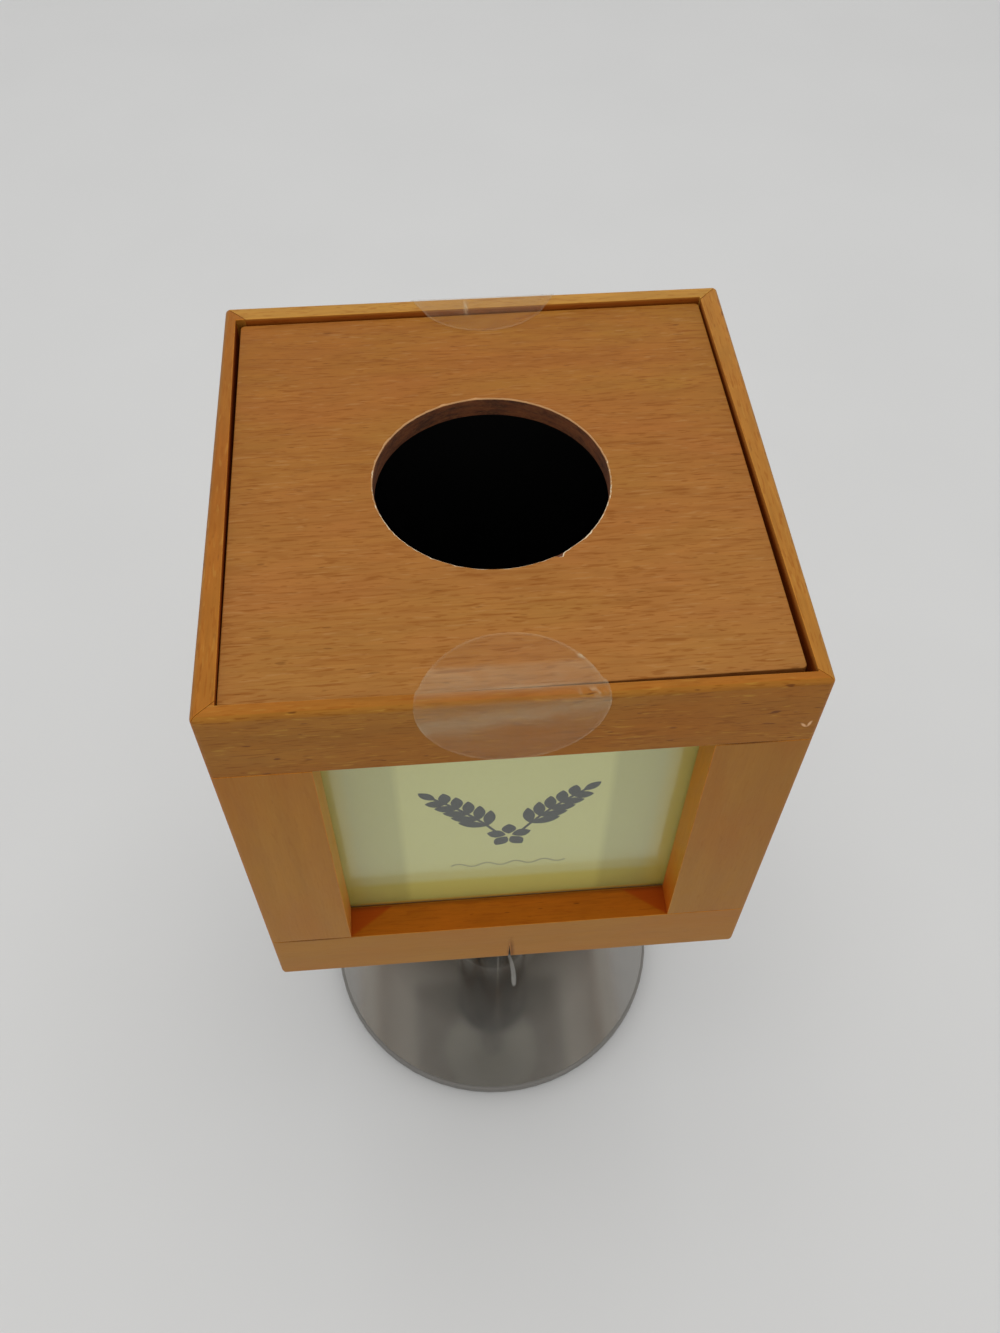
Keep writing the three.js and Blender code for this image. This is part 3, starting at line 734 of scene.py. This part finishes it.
def paleness_at(side, bar, height):
    """How pale a bar is at a share of the cube's height, as painted light: stiles and bottom rails are paler
    towards the foot, and the right and back rims are the palest.
    """
    if bar == "top_rail":
        on_rim = height > 0.995
        return {"right": 0.3, "back": 0.75}.get(side, 0.0) if on_rim else 0.0
    if bar == "bottom_rail":
        return 0.22
    return 0.3 - 0.25 * height


def frame_bars():
    """Rails with their grain along them, and upright stiles."""
    for number, side in enumerate(SIDES):
        quarter = Matrix.Rotation(number * math.pi / 2, 3, "Z")
        along = quarter @ X
        outward = quarter @ Vector((0, -1, 0))
        for bar in ("top_rail", "bottom_rail", "left_stile", "right_stile"):
            node = f"{side}_{bar}"
            piece = eased_copy(node, f"{node}_wood", BAR_EASE)
            upright = bar.endswith("stile")
            grain = (UP, along) if upright else (along, UP)
            set_grain(piece.data, *grain, node)
            heights = [(v.co.z - CUBE_LOW) / (2 * HALF) for v in piece.data.vertices]
            set_values(piece.data, "paleness", [paleness_at(side, bar, height) for height in heights])
            narrow_left_gap(piece.data)
            slot_faces(piece.data, bar, along, outward)
            wood = RAIL_WOOD if bar == "top_rail" else SMOOTH_WOOD
            lining = {"left_stile": JAMB_WOOD, "right_stile": RIGHT_JAMB_WOOD}.get(bar, RETURN_WOOD)
            finishes = (wood, ARRIS_HIGHLIGHT_WOOD, lining, GAP_SHADE_WOOD, RIM_WOOD, UNDERSIDE)
            finish_piece(piece, node, "rail_wood", "cube", *finishes)


def narrow_left_gap(mesh):
    """Brings the rebate's left wall nearer to the lid, as in the photograph."""
    for vert in mesh.vertices:
        on_wall = abs(vert.co.x - LEFT_WALL) < WALL_BAND
        if on_wall and vert.co.z > LID_LOW.z - 1 * MM:
            vert.co.x += LEFT_WALL_SHIFT


def slot_faces(mesh, bar, along, outward):
    """Slot 2 for the window's returns, 3 for the walls round the lid, in painted shade, 4 for the rim, 5 for
    the underside.
    """
    to_window = {"bottom_rail": UP, "left_stile": along, "right_stile": -along}.get(bar)
    for face in mesh.polygons:
        above_ledge = face.center.z > LID_LOW.z - 1 * MM
        round_lid = above_ledge and face.center.dot(outward) > HALF - FRAME_DEPTH + NEAR
        if bar == "top_rail" and round_lid and face.normal.dot(outward) < -0.5:
            face.material_index = 3
        elif face.normal.z > 0.95 and face.center.z > CUBE_TOP - NEAR:
            face.material_index = 4
        elif face.normal.z < -0.95 and face.center.z < CUBE_LOW + NEAR:
            face.material_index = 5
        elif to_window and face.material_index == 0 and face.normal.dot(to_window) > 0.7:
            face.material_index = 2


# Lid

def square_loop(shape, reach, z):
    """A square with rounded corners, reach from its middle to a side."""
    radius = 1.0 * MM
    straight = reach - radius
    points = []
    for corner in range(4):
        turn = Matrix.Rotation(corner * math.pi / 2, 3, "Z")
        for step in range(CORNER_STEPS + 1):
            angle = step / CORNER_STEPS * math.pi / 2
            offset = Vector((straight + radius * math.cos(angle), straight + radius * math.sin(angle), 0))
            points.append(shape.verts.new(turn @ offset + UP * z))
    return points


def hole_loop(shape, radius, z, rag=0.0):
    """A round edge. One with rag is ragged outwards by about that, and has one notch."""
    points = []
    for i in range(HOLE_POINTS):
        angle = 2 * math.pi * i / HOLE_POINTS
        spot = Vector((math.cos(angle), math.sin(angle), 0))
        chip = rag * max(0.0, noise.noise(spot * 9 + Vector((0, 0, z * 400)))) ** 1.5
        chip += rag * 0.5 * max(0.0, noise.noise(spot * 40))
        notch = hump(angle, NOTCH_ANGLE, NOTCH_SPREAD) * NOTCH_DEPTH if rag else 0
        points.append(shape.verts.new(spot * (radius + chip + notch) + Vector((0, HOLE_SHIFT, z))))
    return points


def skin(shape, loops, outwards, slots):
    """Bands of faces between loops, each with its material slot."""
    for (lower, upper), slot in zip(zip(loops, loops[1:]), slots):
        for i in range(len(lower)):
            j = (i + 1) % len(lower)
            corners = (lower[i], lower[j], upper[j], upper[i])
            face = shape.faces.new(corners if outwards else reversed(corners))
            face.material_index = slot


def fill_between(shape, rims, upwards):
    edges = [shape.edges.get((rim[i - 1], rim[i])) for rim in rims for i in range(len(rim))]
    filled = bmesh.ops.triangle_fill(shape, edges=edges, use_beauty=True, use_dissolve=False)
    for item in filled["geom"]:
        if isinstance(item, bmesh.types.BMFace) and (item.normal.z > 0) != upwards:
            item.normal_flip()


def lid_board():
    """The lid: eased outer edges, and a hole whose rim is chipped here and there."""
    thickness = LID_HIGH.z - LID_LOW.z
    ease = 0.35 * MM
    foot_ease = 0.3 * MM
    rim_depth = 0.5 * MM
    shape = bmesh.new()
    outer = [
        square_loop(shape, LID_HALF - ease, 0),
        square_loop(shape, LID_HALF, ease),
        square_loop(shape, LID_HALF, thickness - ease),
        square_loop(shape, LID_HALF - 0.3 * ease, thickness - 0.3 * ease),
        square_loop(shape, LID_HALF - ease, thickness),
    ]
    inner = [
        hole_loop(shape, HOLE_RADIUS + foot_ease, 0),
        hole_loop(shape, HOLE_RADIUS, foot_ease),
        hole_loop(shape, HOLE_RADIUS, thickness - rim_depth),
        hole_loop(shape, HOLE_RADIUS + 0.05 * MM, thickness - 0.26 * MM, rag=0.2 * MM),
        hole_loop(shape, HOLE_RADIUS + 0.28 * MM, thickness, rag=0.5 * MM),
    ]
    skin(shape, outer, True, (0, 0, 0, 0))
    skin(shape, inner, False, (1, 1, 1, 2))
    fill_between(shape, (outer[0], inner[0]), False)
    fill_between(shape, (outer[-1], inner[-1]), True)
    mesh = mesh_from(shape, "lid_board")
    set_values(mesh, "wear", [0.5 - 0.6 * v.co.y / HOLE_RADIUS for v in mesh.vertices])
    set_values(mesh, "paleness", [0.16 - 0.16 * v.co.y / LID_HALF for v in mesh.vertices])
    set_grain(mesh, X, Y, "lid")
    middle = (LID_LOW + LID_HIGH) / 2
    mesh.transform(Matrix.Translation((middle.x, middle.y, LID_LOW.z)) @ Matrix.Rotation(LID_TURN, 4, "Z"))
    piece = link("lid_board", mesh)
    smooth(piece)
    finish_piece(piece, "lid", "lid_wood", "lid", LID_WOOD, RAW_BOARD, CHIPPED_AND_HIGHLIT_EDGE)


# Plain pieces: copies of the CAD solids with eased edges

PLAIN = {
    "bottom_panel": ("plain_wood", UNDERSIDE, 0.2, "cube"),
    "liner_floor": ("black_board", BLACK_BOARD, 0.1, "cube"),
    "base_pad": ("felt", FELT, 0.15, "stand"),
    "base_screw": ("zinc_steel", ZINC_STEEL, 0.2, "stand"),
    "column_tube": ("turned_steel", COLUMN_STEEL, 0.3, "stand"),
    "column_foot": ("zinc_steel", ZINC_STEEL, 0.2, "stand"),
    "column_cap": ("black_nylon", BLACK_NYLON, 0.2, "stand"),
    "guide_bush": ("black_nylon", BLACK_NYLON, 0.2, "stand"),
    "thrust_washer": ("white_nylon", WHITE_NYLON, 0.15, "stand"),
    "spindle": ("turned_steel", TURNED_STEEL, 0, "cube"),
    "retaining_clip": ("zinc_steel", ZINC_STEEL, 0.1, "cube"),
    "mounting_flange": ("zinc_steel", ZINC_STEEL, 0, "cube"),
    "set_screw": ("zinc_steel", ZINC_STEEL, 0.1, "cube"),
    **{f"flange_screw_{i}": ("zinc_steel", ZINC_STEEL, 0, "cube") for i in range(1, 5)},
    **{f"{side}_liner_wall": ("black_board", BLACK_BOARD, 0.1, "cube") for side in SIDES},
    **{f"{side}_left_post": ("plain_wood", PLAIN_WOOD, 0.3, "cube") for side in SIDES},
    **{f"{side}_backing": ("grey_board", GREY_BOARD, 0.15, f"{side}_picture") for side in SIDES},
}


def plain_pieces():
    for node, (slot, material, bevel, body) in PLAIN.items():
        piece = eased_copy(node, f"{node}_piece", bevel * MM)
        if slot == "plain_wood":
            along = UP if node.endswith("post") else X
            set_grain(piece.data, along, Y, node)
        finish_piece(piece, node, slot, body, material, material)


def base_disc():
    """The polished disc with its duller, rounded edge."""
    piece = eased_copy("base_disc", "base_disc_piece", 0)
    for face in piece.data.polygons:
        face.material_index = 0 if abs(face.normal.z) > 0.98 else 1
    finish_piece(piece, "base_disc", "satin_steel", "stand", SATIN_STEEL, EDGE_STEEL)


def panes():
    """Glass whose lower edge shows the brown of the slot that it stands in."""
    for side in SIDES:
        piece = eased_copy(f"{side}_glass", f"{side}_glass_piece", PANE_EASE)
        for face in piece.data.polygons:
            face.material_index = 1 if face.normal.z < -0.3 else 0
        finish_piece(piece, f"{side}_glass", "clear_glass", f"{side}_picture", GLASS, GLASS_FOOT)


# Prints

LEAF_POINTS = 14
LEAF_LEAN = math.radians(38)
LEAF_WIDTH = 2.8 * MM
STEM_JOINTS = 12
STEM_WIDTH = 0.7 * MM
WAVE_WIDTH = 0.6 * MM
PETALS = 5
INK_FRONT = 0.03 * MM
INK_LAYER = 0.001 * MM
INK_ROOT = 0.02 * MM


def leaf(middle, length, width, angle):
    """An almond-shaped outline."""
    turn = Matrix.Rotation(angle, 2)
    outline = []
    for i in range(2 * LEAF_POINTS):
        t = i / LEAF_POINTS if i <= LEAF_POINTS else 2 - i / LEAF_POINTS
        side = 1 if i <= LEAF_POINTS else -1
        point = Vector(((t - 0.5) * length, side * width / 2 * math.sin(math.pi * t) ** 0.8))
        outline.append(turn @ point + middle)
    return outline


def stroke(points, width):
    """A thin strip along points."""
    left, right = [], []
    for i, point in enumerate(points):
        ahead = points[min(i + 1, len(points) - 1)] - points[max(i - 1, 0)]
        across = Vector((-ahead.y, ahead.x)).normalized() * width / 2
        left.append(point + across)
        right.append(point - across)
    return left + right[::-1]


def heading(angle):
    return Vector((math.cos(angle), math.sin(angle)))


def sprig(hand):
    """A leafy stem that rises to one side."""
    shares = [i / STEM_JOINTS for i in range(STEM_JOINTS + 1)]
    stem = [Vector((hand * (3 + 11 * t + 3 * t * t), 33 + 19 * t - 2 * t * t)) * MM for t in shares]
    shapes = [stroke(stem, STEM_WIDTH)]
    for k in range(1, 6):
        base = stem[2 * k]
        ahead = stem[2 * k] - stem[2 * k - 1]
        lean = math.atan2(ahead.y, ahead.x)
        length = (7.6 - 0.6 * k) * MM
        for side in (-1, 1):
            angle = lean + side * LEAF_LEAN
            shapes.append(leaf(base + heading(angle) * length * 0.55, length, LEAF_WIDTH, angle))
    tip = stem[-1] - stem[-2]
    angle = math.atan2(tip.y, tip.x)
    shapes.append(leaf(stem[-1] + heading(angle) * 2 * MM, 5 * MM, 2.4 * MM, angle))
    return shapes


def blossom(middle):
    shapes = []
    for k in range(PETALS):
        angle = math.radians(90 + 360 * k / PETALS)
        shapes.append(leaf(middle + heading(angle) * 3.1 * MM, 4.6 * MM, 3.4 * MM, angle))
    return shapes


def print_shapes():
    """Dark shapes: a blossom between two sprigs. Faint ones: a wavy line below them."""
    dark = blossom(Vector((0, 31)) * MM) + sprig(-1) + sprig(1)
    wave = [Vector((-14 + 28 * i / 40, 17 + 0.8 * math.sin(i * math.pi / 5))) * MM for i in range(41)]
    return dark, [stroke(wave, WAVE_WIDTH)]


def print_sheet(low, size):
    """The sheet itself, standing as the front one does."""
    shape = bmesh.new()
    bmesh.ops.create_grid(shape, x_segments=1, y_segments=1, size=0.5)
    middle = low + size / 2
    stand_up = Matrix.Rotation(math.pi / 2, 4, "X")
    scale = Matrix.Diagonal((size.x, 1, size.z, 1))
    shape.transform(Matrix.Translation((middle.x, low.y, middle.z)) @ scale @ stand_up)
    back = bmesh.ops.extrude_face_region(shape, geom=list(shape.faces))
    moved = [item for item in back["geom"] if isinstance(item, bmesh.types.BMVert)]
    bmesh.ops.translate(shape, vec=(0, size.y, 0), verts=moved)
    bmesh.ops.recalc_face_normals(shape, faces=shape.faces)
    return shape


def print_ink(shape, low, slot, outlines):
    """Inked shapes that stand a hair proud of the sheet, as closed layers rooted in it."""
    for layer, outline in enumerate(outlines):
        front, root = (
            [shape.verts.new((p.x, low.y + depth, WINDOW_FOOT + p.y)) for p in outline]
            for depth in (-INK_FRONT - INK_LAYER * layer, INK_ROOT)
        )
        faces = [shape.faces.new(front), shape.faces.new(reversed(root))]
        for i in range(len(outline)):
            faces.append(shape.faces.new((front[i], front[i - 1], root[i - 1], root[i])))
        bmesh.ops.recalc_face_normals(shape, faces=faces)
        for face in faces:
            face.material_index = slot


def prints():
    """A print behind each pane."""
    low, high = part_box("front_print")
    dark, pale = print_shapes()
    for number, side in enumerate(SIDES):
        shape = print_sheet(low, high - low)
        print_ink(shape, low, 1, dark)
        print_ink(shape, low, 2, pale)
        mesh = mesh_from(shape, f"{side}_print_sheet")
        set_values(mesh, "spot", [v.co - UP * WINDOW_FOOT for v in mesh.vertices])
        mesh.transform(Matrix.Rotation(number * math.pi / 2, 4, "Z"))
        piece = link(f"{side}_print_sheet", mesh)
        finish_piece(piece, f"{side}_print", "print_paper", f"{side}_picture", PAPER, INK, PALE_INK)


# Seals

SEAL_LEAVES_LID = 1.6 * MM
SEAL_MEETS_RIM = 0.2 * MM
SEAL_ROWS = 90
SEAL_COLUMNS = 64
SEAL_CLEARANCE = 0.02 * MM
SEAL_WRINKLE = 0.03 * MM


def seal_line(reach, rim):
    """The film's centre line from its inner end, as distances from the axis and heights."""
    bend = EDGE_RADIUS + SEAL_LIFT
    points = [
        Vector((HALF - reach, LID_HIGH.z + SEAL_LIFT)),
        Vector((rim - SEAL_LEAVES_LID, LID_HIGH.z + SEAL_LIFT)),
        Vector((rim - SEAL_MEETS_RIM, CUBE_TOP + SEAL_LIFT)),
    ]
    for step in range(CORNER_STEPS + 1):
        angle = math.pi / 2 * (1 - step / CORNER_STEPS)
        across = HALF - EDGE_RADIUS + bend * math.cos(angle)
        points.append(Vector((across, CUBE_TOP - EDGE_RADIUS + bend * math.sin(angle))))
    used = sum((b - a).length for a, b in zip(points, points[1:]))
    points.append(Vector((HALF + SEAL_LIFT, CUBE_TOP - EDGE_RADIUS - (2 * SEAL_RADIUS - used))))
    return points


def along_line(points, distance):
    """The place and the outward direction at a distance along the line."""
    for a, b in zip(points, points[1:]):
        length = (b - a).length
        if distance <= length or b is points[-1]:
            ahead = (b - a).normalized()
            return a + ahead * distance, Vector((-ahead.y, ahead.x))
        distance -= length


def softened(line, distance):
    """As along_line, averaged over a millimetre, so that the film bends softly."""
    spots = [along_line(line, max(0, distance + d * MM)) for d in (-0.5, -0.25, 0, 0.25, 0.5)]
    middle = sum((spot for spot, _ in spots), Vector((0, 0))) / len(spots)
    return middle, sum((out for _, out in spots), Vector((0, 0))).normalized()


def seal_rows(shape, line, thickness, milk_and_sheen_at):
    """Rows of vertices over the round film, with small wrinkles."""
    milk_and_sheen_layer = shape.verts.layers.float["milk_and_sheen"]
    sheet = []
    for i in range(SEAL_ROWS + 1):
        share = (1 - math.cos(math.pi * i / SEAL_ROWS)) / 2
        distance = 2 * SEAL_RADIUS * share
        spot, out = softened(line, distance)
        half = SEAL_RADIUS * math.sqrt(max(0.0, 1 - (2 * share - 1) ** 2))
        row = []
        for j in range(SEAL_COLUMNS + 1):
            x = half * (2 * j / SEAL_COLUMNS - 1)
            ripple = noise.noise(Vector((x * 60, distance * 120, line[0].x * 900)))
            p = spot + out * (SEAL_CLEARANCE + max(0.0, ripple) * SEAL_WRINKLE + thickness)
            vert = shape.verts.new((x, -p.x, p.y))
            rim = SEAL_RADIUS - Vector((x, distance - SEAL_RADIUS)).length
            vert[milk_and_sheen_layer] = milk_and_sheen_at(x / MM, distance / MM, rim / MM)
            row.append(vert)
        sheet.append(row)
    return sheet


def close_sheets(shape, under, over):
    """Faces of both sheets, and the narrow band round their rim."""
    rows, columns = len(over) - 1, len(over[0]) - 1
    for i in range(rows):
        for j in range(columns):
            for sheet in (under, over):
                shape.faces.new((sheet[i][j], sheet[i][j + 1], sheet[i + 1][j + 1], sheet[i + 1][j]))
        for j in (0, columns):
            shape.faces.new((over[i][j], over[i + 1][j], under[i + 1][j], under[i][j]))
    for i in (0, rows):
        for j in range(columns):
            shape.faces.new((over[i][j], over[i][j + 1], under[i][j + 1], under[i][j]))
    bmesh.ops.remove_doubles(shape, verts=shape.verts, dist=0.0001 * MM)
    bmesh.ops.recalc_face_normals(shape, faces=shape.faces)


def seal(node, reach, rim, shift, turn, milk_and_sheen_at):
    """A round film folded over the cube's edge."""
    line = seal_line(reach, rim)
    shape = bmesh.new()
    shape.verts.layers.float.new("milk_and_sheen")
    under = seal_rows(shape, line, 0.0, milk_and_sheen_at)
    over = seal_rows(shape, line, SEAL_THICKNESS, milk_and_sheen_at)
    close_sheets(shape, under, over)
    mesh = mesh_from(shape, f"{node}_film")
    mesh.polygons.foreach_set("use_smooth", [True] * len(mesh.polygons))
    mesh.transform(Matrix.Translation((shift, 0, 0)) @ Matrix.Rotation(turn, 4, "Z"))
    finish_piece(link(f"{node}_film", mesh), node, "clear_film", "lid", FILM)


def rise(value, middle, steepness):
    """A soft step from 0 to 1."""
    return 1 / (1 + math.exp(-(value - middle) * steepness))


def front_seal_sheen(x, s, rim):
    """Painted reflection on the front seal, with painted light over the lid's gap, from millimetres across,
    along and in from its rim.
    """
    share = (x + 18) / 36
    edge = (0.03 + 0.05 * share) * hump(rim, 0.15, 0.3)
    # Painted reflection: a band across the lid.
    over_lid = (0.076 - 0.0008 * x) * rise(s, 7.7, 5) * rise(s, 15.2, -3)
    # Painted light over the dark gap round the lid.
    over_gap = 0.1 * hump(s, 14.3, 0.45) * hump(x, 3, 8)
    # Painted reflection: a slant down the front of the cube.
    down = s - 17.5
    slant = hump(down, 6.5 - 4.8 * share, 3.8 - 1.6 * share)
    hanging = 0.03 + (0.135 - 0.03 * share) * slant if down > 0 else 0
    speckled = noise.noise(Vector((x * 1.1, s * 2.3, 5))) > 0.05
    specks = 0.34 * hump(x, 14.6, 1.6) * hump(s, 16.3, 0.8) * speckled
    spot = 0.6 * hump(x, 14.0, 0.5) * hump(s, 6.7, 0.4)
    return 0.012 + edge + over_lid + over_gap + hanging + specks + spot


def back_seal_sheen(x, s, rim):
    """Painted reflection on the back seal. X runs the other way there, as the seal is turned round."""
    edge = 0.05 * hump(rim, 0.15, 0.3)
    # Painted reflection on the outer part and along a crease.
    outer_part = 0.04 * rise(s, 6.5, 2)
    crease = 0.35 * hump(x, 4.4, 0.3) * hump(s, 8.5, 1.6)
    return 0.015 + edge + outer_part + crease


def seals():
    front_rim = SEALED_RIM - REBATE_MIDDLE_Y
    back_rim = SEALED_RIM + REBATE_MIDDLE_Y
    seal("front_seal", FRONT_REACH, front_rim, FRONT_SHIFT, 0, front_seal_sheen)
    seal("back_seal", BACK_REACH, back_rim, BACK_SHIFT, math.pi, back_seal_sheen)


SCRAP_LENGTH = 24 * MM
SCRAP_STEPS = 24
SCRAP_HALF_THICKNESS = 0.04 * MM


def film_scrap():
    """A narrow strip of film that hangs from the slit in the front's lower rail."""
    shape = bmesh.new()
    milk_and_sheen_layer = shape.verts.layers.float.new("milk_and_sheen")
    corners = ((1, 1), (-1, 1), (-1, -1), (1, -1))
    rings = []
    for i in range(SCRAP_STEPS + 1):
        t = i / SCRAP_STEPS
        sideways = -0.2 + 2.2 * t + 0.3 * math.sin(4 * t)
        inwards = 0.7 + 0.8 * math.sin(2.6 * t)
        middle = Vector((sideways, inwards, 0.2)) * MM - UP * SCRAP_LENGTH * t
        half = (0.35 + 0.5 * t - 0.4 * max(0, t - 0.85) / 0.15) * MM
        twist = math.radians(10 + 25 * t)
        across = Vector((math.cos(twist), math.sin(twist), 0)) * half
        deep = Vector((-math.sin(twist), math.cos(twist), 0)) * SCRAP_HALF_THICKNESS
        spot = middle + Vector((0, -HALF, CUBE_LOW))
        ring = [shape.verts.new(spot + a * across + b * deep) for a, b in corners]
        for vert in ring:
            vert[milk_and_sheen_layer] = 0.08 + 0.14 * t
        rings.append(ring)
    for upper, lower in zip(rings, rings[1:]):
        for k in range(4):
            shape.faces.new((upper[k], upper[k - 1], lower[k - 1], lower[k]))
    shape.faces.new(rings[0])
    shape.faces.new(reversed(rings[-1]))
    bmesh.ops.recalc_face_normals(shape, faces=shape.faces)
    scrap = link("film_scrap", mesh_from(shape, "film_scrap"))
    scrap.data.materials.append(SCRAP_FILM)
    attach(scrap, "cube")


# Stage: floor, light and camera

def floor():
    reach = 3.0
    corners = [(-reach, -reach, 0), (reach, -reach, 0), (reach, reach, 0), (-reach, reach, 0)]
    mesh = bpy.data.meshes.new("floor")
    mesh.from_pydata(corners, [], [(0, 1, 2, 3)])
    material, tree = new_material("pale_floor")
    colour = two_toned(tree, plain_cloud(tree, 0.1), srgb(212, 212, 211), srgb(214, 214, 213))
    surface(tree, principled(tree, Base_Color=colour, Roughness=0.75))
    mesh.materials.append(material)
    link("floor", mesh)


def sky():
    """A white room, bright all round and dimmer overhead."""
    world = bpy.data.worlds.new("studio")
    bpy.context.scene.world = world
    world.use_nodes = True
    tree = world.node_tree
    dimming = 0.8
    upward = axes(tree, add(tree, "ShaderNodeTexCoord").outputs["Generated"])[2]
    strength = compute(tree, "MULTIPLY_ADD", compute(tree, "MULTIPLY", upward, upward), -dimming, 1.0)
    back = tree.nodes["Background"]
    back.inputs["Color"].default_value = (1, 1, 1, 1)
    feed(tree, back.inputs["Strength"], strength)


def lamp(name, spot, target, size, power):
    """A soft round lamp that polished metal doesn't mirror."""
    data = bpy.data.lights.new(name, "AREA")
    data.shape = "DISK"
    data.size = size
    data.energy = power
    light = bpy.data.objects.new(name, data)
    light.location = spot
    light.rotation_euler = (Vector(target) - Vector(spot)).to_track_quat("-Z", "Y").to_euler()
    light.visible_glossy = False
    bpy.context.scene.collection.objects.link(light)


# The camera as fitted to the photograph: its place is from the middle of the cube's underside
CAMERA_FROM_CUBE = Vector((-0.01406, -0.18176, 0.29786))
CAMERA_RIGHT = Vector((0.99674365, -0.08043009, 0.00575361))
CAMERA_DOWN = Vector((-0.0614898, -0.80430258, -0.59102992))
FOCAL_PIXELS = 1175.1
PHOTO_HEIGHT = 1333
SENSOR = 36.0


def camera():
    data = bpy.data.cameras.new("camera")
    data.sensor_width = SENSOR
    data.lens = FOCAL_PIXELS * SENSOR / PHOTO_HEIGHT
    data.clip_start = 0.01
    eye = bpy.data.objects.new("camera", data)
    back = CAMERA_RIGHT.cross(-CAMERA_DOWN)
    turn = Matrix((CAMERA_RIGHT, -CAMERA_DOWN, back)).transposed().to_4x4()
    eye.matrix_world = Matrix.Translation(CAMERA_FROM_CUBE + UP * CUBE_LOW) @ turn
    bpy.context.scene.collection.objects.link(eye)
    bpy.context.scene.camera = eye


frame_bars()
lid_board()
prints()
seals()
film_scrap()
plain_pieces()
base_disc()
panes()
floor()
sky()
lamp("overhead", spot=(0, 0, 1.7), target=(0, 0, 0.15), size=1.4, power=12)
camera()

bpy.context.scene.view_settings.view_transform = "Standard"
